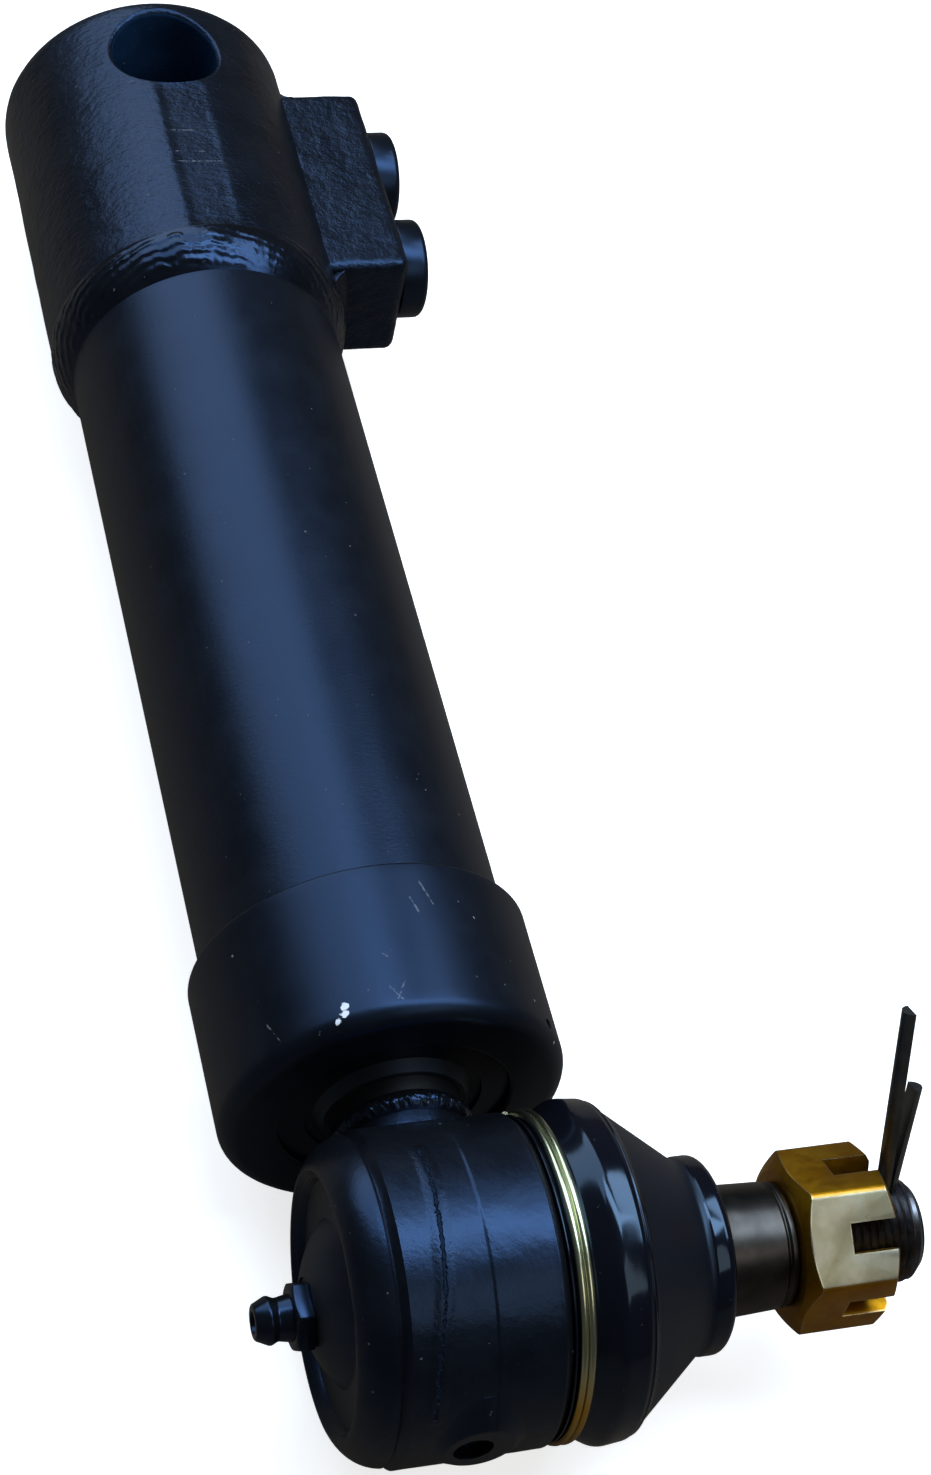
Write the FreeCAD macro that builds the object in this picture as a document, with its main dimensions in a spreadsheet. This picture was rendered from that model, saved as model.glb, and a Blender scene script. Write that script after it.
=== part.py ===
# Hydraulic steering cylinder with a cross bore at the base end and a ball joint at the rod end.
# Millimetres. The origin is the centre of the cross bore, +X runs along the barrel to the rod end,
# +Z is the axis of the cross bore, and the ball stud and both oil ports face +Y.
# The rod is drawn fully in, with the stud square to the rod.
import FreeCAD, Part
import Sketcher
import math
import os
import re

from FreeCAD import Placement, Rotation, Vector

doc = FreeCAD.newDocument("SteeringCylinder")
sheet = doc.addObject("Spreadsheet::Sheet", "Sizes")

# Driving dimensions: name, size, what it is.
SIZES = [
    # base end
    ("base_d", 66.6, "outside diameter of the base end"),
    ("base_wall", 3.3, "wall of the base end around the barrel tube"),
    ("weld_land", 0.4, "land of the front rim under the weld"),
    ("base_back", 18.6, "cross bore centre to the closed end face"),
    ("base_front", 64.0, "cross bore centre to the front rim of the base end"),
    ("base_round", 5.5, "rounding of the closed end"),
    ("base_bevel", 4.0, "length of the weld bevel on the front rim"),
    ("eye_d", 24.0, "cross bore"),
    ("eye_edge", 0.8, "chamfer on both rims of the cross bore"),
    ("strip_wide", 10.4, "width of the milled strip along the top"),
    ("strip_off", 1.2, "middle of the milled strip, towards the ports"),
    ("strip_deep", 0.7, "depth of the milled strip"),
    ("strip_start", 15.0, "start of the milled strip"),
    ("strip_end", 57.0, "end of the milled strip"),
    # barrel tubes
    ("tube_wall", 4.0, "wall of the barrel tube"),
    ("oil_gap", 3.0, "gap for oil between the two tubes"),
    ("tube_socket", 8.0, "depth of the socket that the barrel tube stands in"),
    ("tube_end", 252.0, "gland end of the barrel tube"),
    ("liner_wall", 3.0, "wall of the inner tube"),
    ("liner_start", 30.0, "base end of the inner tube"),
    ("liner_seat", 8.0, "depth of the seat of the inner tube"),
    ("liner_end", 236.0, "gland end of the inner tube"),
    ("transfer_at", 213.2, "row of oil holes through the inner tube"),
    ("transfer_d", 4.6, "oil holes through the inner tube"),
    ("snug", 0.05, "radial room of pieces that are pressed or sealed together"),
    ("running", 0.08, "radial room of pieces that slide or turn in each other"),
    ("free_gap", 0.3, "room between faces that must not touch"),
    ("past", 1.0, "run of a cut past a face"),
    ("drill_d", 7.0, "oil drillings in the base end"),
    ("drill_wall", 0.5, "wall between the cross bore and the lengthwise oil drilling"),
    ("liner_ring_at", 34.0, "centre of the sealing ring around the inner tube"),
    # weld between base end and tube
    ("weld_toe", 70.6, "cross bore centre to the toe of the weld on the tube"),
    ("weld_crown", 11.0, "radius of the weld crown"),
    # port block
    ("block_back", 5.3, "cross bore centre back to the rear face of the port block"),
    ("block_front", 54.6, "cross bore centre to the front face of the port block"),
    ("block_high", 28.2, "height of the port block"),
    ("block_stand", 16.0, "outer face of the port block over the base end"),
    ("block_round", 2.2, "rounding of the port block"),
    ("rear_port", 10.8, "cross bore centre to the rear port"),
    ("front_port", 41.4, "cross bore centre to the front port"),
    ("port_thread_d", 13.0, "port thread"),
    ("port_deep", 11.0, "depth of the port thread"),
    ("plug_head_d", 22.8, "head of a port plug"),
    ("plug_head", 6.4, "height of the head of a port plug"),
    ("plug_round", 1.5, "rounding of the head of a port plug"),
    ("plug_shank", 9.0, "length of the shank of a port plug"),
    ("plug_hex", 8.0, "hexagon socket in a port plug, across flats"),
    ("plug_hex_deep", 5.0, "depth of the hexagon socket"),
    ("block_bead", 3.2, "leg of the weld at each end of the port block"),
    ("bead_crown", 1.2, "radius of the block weld as a share of its leg"),
    # gland nut
    ("nut_rim", 3.3, "wall of the gland nut over the barrel tube"),
    ("nut_back", 232.4, "rear rim of the gland nut"),
    ("nut_front", 266.0, "front face of the gland nut"),
    ("nut_round", 3.6, "rounding of the front rim"),
    ("nut_edge", 0.6, "chamfer of the rear rim"),
    ("thread_step", 0.8, "step from the barrel tube down to its thread"),
    ("nut_skirt", 5.0, "plain skirt of the gland nut before its thread"),
    ("mouth_step", 7.7, "barrel tube in to the opening of the gland nut"),
    ("nut_wall", 7.0, "front wall of the gland nut"),
    ("pinch_hole_d", 2.0, "locking hole in the rim of the gland nut"),
    ("pinch_hole_deep", 2.0, "depth of the locking hole"),
    ("pinch_hole_at", 4.1, "front face back to the locking hole"),
    ("pinch_hole_angle", 34.0, "angle of the locking hole from the ports towards +Z"),
    # rod guide and its seals
    ("guide_start", 216.0, "inner end of the rod guide"),
    ("guide_edge", 2.0, "lead at the inner end of the rod guide"),
    ("guide_face", 264.5, "front face of the rod guide"),
    ("bush_start", 219.0, "inner end of the guide bush"),
    ("bush_long", 20.0, "length of the guide bush"),
    ("bush_wall", 1.5, "wall of the guide bush"),
    ("rod_seal_at", 243.0, "start of the rod seal groove"),
    ("rod_seal_long", 6.0, "length of the rod seal"),
    ("rod_seal_wall", 4.0, "section of the rod seal"),
    ("seal_lip", 1.1, "thickness of a lip of the rod seal"),
    ("wiper_at", 257.0, "start of the wiper seat"),
    ("wiper_wall", 4.5, "section of the wiper"),
    ("wiper_lip", 1.4, "lip of the wiper in front of the guide"),
    ("wiper_sunk", 0.6, "shoulder of the wiper behind the face of the guide"),
    ("wiper_base", 1.2, "thickness of the wiper behind its lip"),
    ("wiper_flank", 1.6, "step of the wiper at its shoulder"),
    ("ring_section", 2.6, "section of the static sealing rings"),
    ("ring_squeeze", 0.8, "height of a squeezed sealing ring as a share of its section"),
    ("ring_corner_share", 0.35, "corner radius of a sealing ring as a share of its section"),
    ("outer_ring_at", 243.0, "centre of the sealing ring in the barrel tube"),
    ("inner_ring_at", 228.0, "centre of the sealing ring in the inner tube"),
    # rod and piston
    ("rod_share", 0.625, "rod diameter as a share of the cylinder bore"),
    ("rod_short", 1.5, "end of the rod inside the rear face of the piston"),
    ("rod_edge", 1.0, "chamfer at the threaded end of the rod"),
    ("rod_shown", 4.9, "bare rod and weld in front of the gland nut with the rod in"),
    ("piston_start", 34.0, "rear face of the piston with the rod in"),
    ("piston_long", 30.0, "length of the piston"),
    ("piston_edge", 1.0, "chamfer of the piston"),
    ("piston_gap", 0.4, "radial room of the piston metal in the bore"),
    ("spigot_share", 0.72, "spigot through the piston as a share of the rod"),
    ("rod_thread_share", 0.64, "rod thread behind the piston as a share of the rod"),
    ("pocket_share", 0.75, "pocket for the piston nut as a share of the cylinder bore"),
    ("nut_pocket_deep", 13.0, "depth of the pocket for the piston nut"),
    ("piston_nut_share", 0.8, "piston nut across flats as a share of its pocket"),
    ("piston_nut_high", 10.0, "height of the piston nut"),
    ("seal_at", 15.0, "rear face of the piston to its seal groove"),
    ("seal_long", 6.0, "length of the piston seal"),
    ("seal_deep", 3.0, "depth of the piston seal groove"),
    ("wear_at", 23.0, "rear face of the piston to its wear ring groove"),
    ("wear_long", 4.5, "length of the wear ring"),
    ("wear_deep", 2.0, "depth of the wear ring groove"),
    ("spigot_ring_at", 18.0, "rear face of the piston to the ring on the spigot"),
    ("spigot_ring", 1.8, "section of the sealing ring on the spigot"),
    # ball joint
    ("seat_wall", 6.0, "ball seats between the ball and the housing"),
    ("socket_run", 0.1, "room between the ball and its seats"),
    ("housing_over", 17.7, "ball housing over the rod on each side"),
    ("lip_over", 2.1, "rolled lip beyond the edge of the end plug"),
    ("mouth_ease", 0.2, "opening inside the rolled lip over the bore for the seats"),
    ("lip_thick", 1.6, "flat face of the rolled lip"),
    ("shoulder_drop", 1.4, "shoulder under the boot below the top of the ball"),
    ("housing_wall", 7.2, "wall of the ball housing"),
    ("housing_edge", 1.2, "chamfer of the housing"),
    ("neck_lip", 1.0, "opening for the stud inside the ball diameter"),
    ("neck_flare", 1.5, "width of the flare of the stud opening"),
    ("neck_flare_deep", 2.5, "depth of the flare of the stud opening"),
    ("spigot_long", 3.9, "length of the spigot that carries the boot"),
    ("boot_step", 4.2, "step from the housing in to the spigot that carries the boot"),
    ("lip_round", 8.5, "rounding of the rolled lip"),
    ("lip_long", 7.1, "length of the rolled lip to the turned line"),
    ("groove_deep", 0.7, "depth of the turned line"),
    ("boss_long", 2.2, "length of the boss that the rod is welded to"),
    ("boss_sunk", 1.5, "root of the boss outside the bore for the seats"),
    ("weld_bevel", 2.1, "weld bevel on the rod and on the boss"),
    ("weld_rise", 1.4, "height of the rod weld over the rod"),
    ("drain_d", 7.0, "centring hole at the far side of the ball housing"),
    ("drain_deep", 2.4, "depth of the centring hole"),
    ("drain_at", -1.2, "centring hole along the stud axis"),
    ("pad_d", 13.0, "face of the low pad around the centring hole"),
    ("pad_foot_d", 25.0, "foot of the low pad"),
    ("pad_rise", 1.0, "height of the low pad over the housing"),
    # end plug, nipple and spring
    ("plug_gap", 1.0, "ball to the inner face of the end plug"),
    ("plug_thick", 1.6, "edge of the end plug"),
    ("plug_dome", 6.0, "rise of the domed end plug"),
    ("dome_rim", 7.8, "flat rim around the dome"),
    ("nipple_thread_d", 6.0, "thread of the grease nipple"),
    ("nipple_flats", 11.7, "hexagon of the grease nipple, across flats"),
    ("nipple_head", 3.5, "height of the hexagon of the grease nipple"),
    ("nipple_root_d", 8.6, "grease nipple where it leaves its hexagon"),
    ("nipple_neck_d", 7.6, "neck of the grease nipple"),
    ("nipple_neck_at", 6.0, "seat of the grease nipple to its neck"),
    ("nipple_ball_d", 9.0, "rounded head of the grease nipple"),
    ("nipple_ball_at", 7.4, "seat of the grease nipple to the widest place of its head"),
    ("nipple_tip_d", 6.4, "end face of the grease nipple"),
    ("nipple_mouth_d", 4.0, "mouth of the grease nipple"),
    ("nipple_mouth_deep", 1.4, "depth of the mouth of the grease nipple"),
    ("nipple_off", 1.6, "stud axis to the grease nipple, away from the barrel"),
    ("nipple_long", 10.1, "length of the grease nipple outside its seat"),
    ("nipple_edge", 1.0, "turned bevel on the corners of the hexagon"),
    ("nipple_sink", 1.0, "seat of the nipple below the top of the dome"),
    ("spring_d", 30.0, "outside diameter of the seat spring"),
    ("spring_thick", 1.5, "thickness of the seat spring"),
    ("spring_hole", 12.0, "hole of the seat spring"),
    ("spring_room", 0.1, "room between the seat spring and the lower seat"),
    ("seat_back_share", 0.42, "back of the lower seat as a share of the ball"),
    ("seat_split", 0.6, "half of the gap between the two ball seats"),
    ("seat_top_share", 0.365, "top of the upper seat as a share of the ball"),
    ("seat_mouth_share", 0.84, "opening of the upper seat as a share of the ball"),
    ("seat_flare", 1.5, "flare of the upper seat"),
    # stud
    ("stud_neck_share", 0.55, "neck of the stud as a share of the ball"),
    ("neck_long", 18.4, "shoulder of the housing to the end of the stud neck"),
    ("taper_big_d", 26.0, "large end of the stud taper"),
    ("neck_cone", 3.0, "length of the cone from the neck to the taper"),
    ("taper_long", 24.0, "length of the taper"),
    ("taper_ratio", 10.0, "length of the taper for one millimetre of diameter"),
    ("taper_edge", 1.0, "chamfer at the small end of the taper"),
    ("thread_d", 20.0, "stud thread"),
    ("thread_run_d", 17.8, "undercut before the stud thread"),
    ("thread_run", 2.5, "length of the undercut before the stud thread"),
    ("stud_past", 26.0, "seat of the castle nut to the end of the stud"),
    ("stud_edge", 2.0, "chamfer at the end of the stud"),
    ("thread_edge", 1.0, "chamfer at the start of the stud thread"),
    ("pin_hole_d", 4.4, "cross hole for the cotter pin"),
    ("pin_past", 21.0, "seat of the castle nut to the cross hole"),
    ("pin_angle", 30.0, "angle of the cotter pin from upright towards the barrel"),
    # castle nut
    ("castle_flats", 30.0, "castle nut across flats"),
    ("castle_gap", 1.9, "start of the stud thread to the castle nut"),
    ("castle_high", 18.4, "height of the castle nut"),
    ("castle_slot", 5.6, "width of the slots"),
    ("castle_slot_deep", 9.6, "depth of the slots"),
    ("castle_bevel", 2.6, "turned bevel on the corners at the slotted end"),
    ("castle_back_bevel", 1.2, "turned bevel on the corners at the seat end"),
    ("castle_land", 0.4, "bevel inside the flats at both ends"),
    # cotter pin
    ("pin_d", 4.0, "cotter pin"),
    ("pin_split", 0.25, "gap between the two legs"),
    ("pin_long_leg", 46.0, "stud axis to the end of the long leg"),
    ("pin_short_leg", 30.4, "stud axis to the end of the short leg"),
    ("pin_long_angle", 3.0, "angle of the long leg"),
    ("pin_short_angle", 9.0, "angle of the short leg"),
    ("pin_eye_r", 1.2, "inside radius of the eye"),
    ("pin_eye_wall", 1.6, "thickness of the wire around the eye"),
    ("pin_eye_thick", 2.8, "width of the eye across the pin"),
    ("pin_eye_grip", 1.0, "overlap of the legs and the eye"),
    ("pin_eye_out", 13.6, "stud axis to the centre of the eye"),
    ("pin_eye_sunk", 3.6, "centre of the eye below the cross hole, down in the slot"),
    # boot and its ring
    ("boot_wall", 2.2, "wall of the boot"),
    ("boot_over", 1.2, "belly of the boot over the housing"),
    ("ridge_up", 15.3, "shoulder of the housing to the ridge of the boot"),
    ("cone_long", 14.7, "length of the cone of the boot"),
    ("boot_neck_d", 35.8, "boot where the cone meets the neck"),
    ("neck_swell", 0.4, "lip of the neck over the end of the cone"),
    ("neck_high", 5.1, "height of the neck of the boot"),
    ("hold_step", 2.7, "belly of the boot in to the seat of its wire ring"),
    ("foot_lip", 1.0, "lip at the foot of the boot"),
    ("foot_lip_high", 0.4, "height of the lip at the foot"),
    ("belly_up", 4.4, "height of the lower curve of the belly"),
    ("belly_round", 8.0, "radius of the lower curve of the belly"),
    ("belly_flat", 0.5, "shoulder of the boot inside its belly"),
    ("shoulder_round", 18.0, "radius of the upper curve of the belly"),
    ("ridge_drop", 1.5, "ridge inside the belly"),
    ("ridge_high", 1.0, "height of the ridge"),
    ("ridge_round", 2.2, "radius of the ridge"),
    ("lip_up", 2.0, "height of the curve up to the lip of the neck"),
    ("neck_round", 2.5, "radius of the curve up to the lip of the neck"),
    ("lip_edge", 1.8, "rounding of the lip of the neck"),
    ("grip_down", 1.5, "grip of the neck below the end of the cone"),
    ("inner_slack", 0.6, "extra wall of the cone at its narrow end"),
    ("wire_d", 1.5, "wire of the boot ring"),
    ("wire_up", 1.6, "shoulder of the housing to the first turn of the boot ring"),
    ("wire_nest", 0.08, "overlap of the two turns of the boot ring"),
    ("ring_room", 0.02, "room between the boot and its wire ring"),
]

# Sizes that follow from the driving ones: name, expression, what it is.
FOLLOWING = [
    ("tube_d", "base_d - 2 * base_wall", "outside diameter of the barrel tube"),
    ("liner_bore", "tube_d - 2 * (tube_wall + oil_gap + liner_wall)", "cylinder bore"),
    ("drill_off", "eye_d / 2 + drill_wall + drill_d / 2", "offset of the lengthwise oil drilling"),
    ("block_out", "base_d / 2 + block_stand", "cylinder axis to the outer face of the port block"),
    ("nut_d", "tube_d + 2 * nut_rim", "outside diameter of the gland nut"),
    ("nut_thread_d", "tube_d - 2 * thread_step", "thread between the gland nut and the barrel tube"),
    ("nut_mouth_d", "tube_d - 2 * mouth_step", "opening in the front wall of the gland nut"),
    ("rod_d", "liner_bore * rod_share", "piston rod"),
    ("spigot_d", "rod_d * spigot_share", "rod spigot through the piston"),
    ("rod_thread_d", "rod_d * rod_thread_share", "rod thread behind the piston"),
    ("nut_pocket_d", "liner_bore * pocket_share", "pocket for the piston nut"),
    ("piston_nut_flats", "nut_pocket_d * piston_nut_share", "piston nut across flats"),
    ("boss_face", "nut_front + rod_shown", "cross bore centre to the face of the boss with the rod in"),
    ("housing_d", "rod_d + 2 * housing_over", "outside diameter of the ball housing"),
    ("ball_at", "boss_face + boss_long + housing_d / 2", "cross bore centre to the ball centre, rod in"),
    ("housing_bore_d", "housing_d - 2 * housing_wall", "bore for the ball seats"),
    ("housing_mouth_d", "housing_bore_d + mouth_ease", "opening inside the rolled lip"),
    ("ball_d", "housing_bore_d - 2 * seat_wall", "ball"),
    ("plug_back", "ball_d / 2 + plug_gap", "ball centre to the inner face of the end plug"),
    ("housing_mouth", "plug_back + plug_thick + lip_over", "ball centre to the rolled lip"),
    ("groove_at", "housing_mouth - lip_long", "ball centre to the turned line behind the lip"),
    ("housing_top", "ball_d / 2 - shoulder_drop", "ball centre to the shoulder under the boot"),
    ("housing_neck", "housing_top + spigot_long", "ball centre to the face of the stud opening"),
    ("housing_neck_d", "ball_d - 2 * neck_lip", "opening for the stud"),
    ("boot_seat_d", "housing_d - 2 * boot_step", "spigot that carries the boot"),
    ("seat_back", "ball_d * seat_back_share", "ball centre to the back of the lower seat"),
    ("seat_top", "ball_d * seat_top_share", "ball centre to the top of the upper seat"),
    ("seat_mouth_d", "ball_d * seat_mouth_share", "opening of the upper seat"),
    ("stud_neck_d", "ball_d * stud_neck_share", "neck of the stud"),
    ("stud_neck_end", "housing_top + neck_long", "ball centre to the end of the neck"),
    ("taper_start", "stud_neck_end + neck_cone", "ball centre to the large end of the taper"),
    ("taper_end", "taper_start + taper_long", "ball centre to the small end of the taper"),
    ("thread_start", "taper_end + thread_run", "ball centre to the start of the stud thread"),
    ("castle_start", "thread_start + castle_gap", "ball centre to the castle nut"),
    ("stud_end", "castle_start + stud_past", "ball centre to the end of the stud"),
    ("pin_hole_at", "castle_start + pin_past", "ball centre to the cross hole"),
    ("boot_d", "housing_d + 2 * boot_over", "largest diameter of the boot"),
    ("boot_hold_d", "boot_d - 2 * hold_step", "boot under its wire ring"),
    ("boot_lip_d", "boot_neck_d + 2 * neck_swell", "lip of the neck of the boot"),
    ("boot_ridge", "housing_top + ridge_up", "ball centre to the ridge of the boot"),
    ("boot_neck", "boot_ridge + cone_long", "ball centre to the foot of the neck of the boot"),
    ("boot_end", "boot_neck + neck_high", "ball centre to the end of the boot"),
    ("wire_pitch", "wire_d - wire_nest", "first turn of the boot ring to the second"),
    ("wire_at", "housing_top + wire_up", "ball centre to the first turn of the boot ring"),
]
ROWS = [(alias, str(number), meaning) for alias, number, meaning in SIZES]
ROWS += [(alias, f"={text}", meaning) for alias, text, meaning in FOLLOWING]
for row, (alias, content, meaning) in enumerate(ROWS, start=1):
    sheet.set(f"A{row}", meaning)
    sheet.set(f"B{row}", content)
    sheet.setAlias(f"B{row}", alias)
doc.recompute()

ALIASES = {alias for alias, content, meaning in ROWS}
PARTS = []


def bound(text):
    """An expression with the sheet's name put before each size."""
    def named(match):
        word = match.group()
        return f"Sizes.{word}" if word in ALIASES else word
    return re.sub(r"[a-z][a-z_]*", named, text)


def size(text):
    """The present value of an expression."""
    return float(sheet.evalExpression(bound(text)))


def bind(thing, prop, text):
    thing.setExpression(prop, bound(text))


def new_body(label, place=("0", "0", "0")):
    """A body for one piece, with its place bound to the sheet."""
    body = doc.addObject("PartDesign::Body", label)
    body.Label = label
    for axis, text in zip("xyz", place):
        bind(body, f"Placement.Base.{axis}", text)
    PARTS.append(body)
    return body


def plane_of(body, role):
    return next(f for f in body.Origin.OriginFeatures if f.Role == role)


def new_sketch(body, role, shift="0"):
    """A sketch on one of the body's own planes, moved along its normal by an expression."""
    sketch = body.newObject("Sketcher::SketchObject", "Sketch")
    sketch.AttachmentSupport = [(plane_of(body, role), "")]
    sketch.MapMode = "FlatFace"
    bind(sketch, "AttachmentOffset.Base.z", shift)
    doc.recompute()
    return sketch


def fix_point(sketch, geo, end, across, up):
    """Hold an end of a line or arc, or a circle's centre, at two bound distances from the origin."""
    for kind, text in (("DistanceX", across), ("DistanceY", up)):
        number = sketch.addConstraint(Sketcher.Constraint(kind, -1, 1, geo, end, size(text)))
        sketch.setExpression(f"Constraints[{number}]", bound(text))


def outline(sketch, corners):
    """A closed outline. A corner is (across, up), or (across, up, radius, side) where an arc leads to it:
    side is 1 where the arc turns to the left and -1 where it turns to the right."""
    points = [Vector(size(c[0]), size(c[1]), 0) for c in corners]
    lines = []
    for i, corner in enumerate(corners):
        begin, finish = points[i - 1], points[i]
        if len(corner) == 2:
            lines.append(sketch.addGeometry(Part.LineSegment(begin, finish), False))
            continue
        radius, side = size(corner[2]), corner[3]
        chord = finish - begin
        rise = math.sqrt(radius ** 2 - (chord.Length / 2) ** 2)
        normal = Vector(-chord.y, chord.x, 0).normalize()
        centre = begin + chord * 0.5 + normal * rise * side
        middle = centre - normal * radius * side
        lines.append(sketch.addGeometry(Part.Arc(begin, middle, finish), False))
    for i, corner in enumerate(corners):
        this, following = lines[i], lines[(i + 1) % len(lines)]
        this_end = 1 if len(corner) > 2 and corner[3] < 0 else 2
        next_corner = corners[(i + 1) % len(corners)]
        next_start = 2 if len(next_corner) > 2 and next_corner[3] < 0 else 1
        sketch.addConstraint(Sketcher.Constraint("Coincident", this, this_end, following, next_start))
        fix_point(sketch, this, this_end, corner[0], corner[1])
        if len(corner) > 2:
            number = sketch.addConstraint(Sketcher.Constraint("Radius", this, size(corner[2])))
            sketch.setExpression(f"Constraints[{number}]", bound(corner[2]))


def circle(sketch, across, up, diameter):
    geo = sketch.addGeometry(
        Part.Circle(Vector(size(across), size(up), 0), Vector(0, 0, 1), size(diameter) / 2), False)
    fix_point(sketch, geo, 3, across, up)
    number = sketch.addConstraint(Sketcher.Constraint("Diameter", geo, size(diameter)))
    sketch.setExpression(f"Constraints[{number}]", bound(diameter))


def hexagon(sketch, flats, turn):
    """A hexagon about the sketch's origin, across flats, with its first corner at an angle in degrees."""
    corners = []
    for i in range(6):
        reach = f"({flats}) / 2 / cos(30)"
        corners.append((f"{reach} * cos({turn} + {60 * i})", f"{reach} * sin({turn} + {60 * i})"))
    outline(sketch, corners)


def turned(body, corners, axis="H_Axis", cut=False):
    """A turned form from half a section drawn in the XY plane, about the X axis or the Y axis."""
    sketch = new_sketch(body, "XY_Plane")
    outline(sketch, corners)
    kind = "Groove" if cut else "Revolution"
    feature = body.newObject(f"PartDesign::{kind}", kind)
    feature.Profile = sketch
    feature.ReferenceAxis = (sketch, [axis])
    feature.Angle = 360
    doc.recompute()
    return feature


def extruded(body, sketch, length, cut=False, back=False):
    """A pad or a pocket whose depth is bound to the sheet. A pocket must take something away."""
    before = body.Shape.Volume if cut else 0
    kind = "Pocket" if cut else "Pad"
    feature = body.newObject(f"PartDesign::{kind}", kind)
    feature.Profile = sketch
    bind(feature, "Length", length)
    feature.Reversed = back
    doc.recompute()
    if cut and body.Shape.Volume > before - 1e-6:
        raise RuntimeError(f"{body.Label}: a pocket cut nothing")
    return feature


def rounded(body, kind, radius, wanted):
    """Fillet or chamfer of the edges that a test picks out."""
    tip = body.Tip
    names = [f"Edge{i}" for i, edge in enumerate(tip.Shape.Edges, start=1) if wanted(edge)]
    if not names:
        raise RuntimeError(f"{body.Label}: no edge to round")
    feature = body.newObject(f"PartDesign::{kind}", kind)
    feature.Base = (tip, names)
    bind(feature, "Radius" if kind == "Fillet" else "Size", radius)
    doc.recompute()
    return feature


def is_ring(edge, axis, at, radius):
    """True for a circular edge about one of the body's axes, at a place along it and of one radius."""
    curve = edge.Curve
    if curve.TypeId != "Part::GeomCircle":
        return False
    return (abs(getattr(curve.Center, axis) - at) < 0.01 and abs(curve.Radius - radius) < 0.01
            and abs(abs(getattr(curve.Axis, axis)) - 1) < 1e-6)


def in_box(edge, low, high):
    """True for an edge that lies wholly inside a box."""
    bb = edge.BoundBox
    return (bb.XMin > low[0] and bb.YMin > low[1] and bb.ZMin > low[2]
            and bb.XMax < high[0] and bb.YMax < high[1] and bb.ZMax < high[2])


# Expressions used by more than one piece.
TUBE_R = "tube_d / 2"
TUBE_IN = "(tube_d / 2 - tube_wall)"
LINER_R = "(liner_bore / 2 + liner_wall)"
LINER_SEAT_R = "(liner_bore / 2 + liner_wall + snug)"
BASE_R = "base_d / 2"
ROD_R = "rod_d / 2"
CHAMBER_START = "(liner_start + liner_seat)"
PISTON_END = "(piston_start + piston_long)"
BALL = ("ball_at", "0", "0")
SEAT_R = "(ball_d / 2 + socket_run)"


def base_end():
    """Forged base end: cross bore, sockets for both tubes and the oil drillings."""
    body = new_body("base_end")
    turned(body, [
        ("-base_back", "0"),
        ("-base_back", BASE_R),
        ("base_front - base_bevel", BASE_R),
        ("base_front", "tube_d / 2 + snug + weld_land"),
        ("base_front", "tube_d / 2 + snug"),
        ("base_front - tube_socket", "tube_d / 2 + snug"),
        ("base_front - tube_socket", TUBE_IN),
        (CHAMBER_START, TUBE_IN),
        (CHAMBER_START, LINER_SEAT_R),
        ("liner_ring_at + ring_section / 2 + snug", LINER_SEAT_R),
        ("liner_ring_at + ring_section / 2 + snug", f"{LINER_SEAT_R} + ring_section * ring_squeeze"),
        ("liner_ring_at - ring_section / 2 - snug", f"{LINER_SEAT_R} + ring_section * ring_squeeze"),
        ("liner_ring_at - ring_section / 2 - snug", LINER_SEAT_R),
        ("liner_start", LINER_SEAT_R),
        ("liner_start", "0"),
    ])
    back, radius = size("-base_back"), size(BASE_R)
    rounded(body, "Fillet", "base_round", lambda e: is_ring(e, "x", back, radius))
    strip = new_sketch(body, "XY_Plane", f"{BASE_R} - strip_deep")
    outline(strip, [
        ("strip_start", "strip_off - strip_wide / 2"), ("strip_end", "strip_off - strip_wide / 2"),
        ("strip_end", "strip_off + strip_wide / 2"), ("strip_start", "strip_off + strip_wide / 2")])
    extruded(body, strip, "strip_deep + past", cut=True, back=True)
    eye = new_sketch(body, "XY_Plane", "-base_d")
    circle(eye, "0", "0", "eye_d")
    extruded(body, eye, "base_d * 2", cut=True, back=True)
    reach, far = size("eye_d / 2 + snug"), size("base_d")
    rounded(body, "Chamfer", "eye_edge", lambda e: abs(e.CenterOfMass.z) > reach and in_box(
        e, (-reach, -reach, -far), (reach, reach, far)))
    # Drillings from the rear port lengthwise into the cylinder, and from the front port to the oil gap.
    long_hole = new_sketch(body, "YZ_Plane", "rear_port")
    circle(long_hole, "drill_off", "0", "drill_d")
    extruded(body, long_hole, "liner_start - rear_port + past", cut=True, back=True)
    for port, floor in (("rear_port", "drill_off - drill_d / 2 + past"), ("front_port", f"{LINER_R} + past")):
        hole = new_sketch(body, "XZ_Plane", f"-({floor})")
        circle(hole, port, "0", "drill_d")
        extruded(body, hole, f"{BASE_R} - ({floor}) + past", cut=True)
    return body


def base_weld():
    """Weld bead that joins the barrel tube to the bevelled rim of the base end."""
    body = new_body("base_weld")
    turned(body, [
        ("base_front - base_bevel", BASE_R, "weld_crown", 1),
        ("base_front", "tube_d / 2 + snug + weld_land"),
        ("base_front", TUBE_R),
        ("weld_toe", TUBE_R),
    ])
    return body


def barrel_tube():
    """Outer tube, turned down at the gland end for the thread of the gland nut."""
    body = new_body("barrel_tube")
    turned(body, [
        ("base_front - tube_socket", TUBE_IN),
        ("base_front - tube_socket", TUBE_R),
        ("nut_back + nut_skirt", TUBE_R),
        ("nut_back + nut_skirt", "nut_thread_d / 2"),
        ("tube_end", "nut_thread_d / 2"),
        ("tube_end", TUBE_IN),
    ])
    return body


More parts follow.
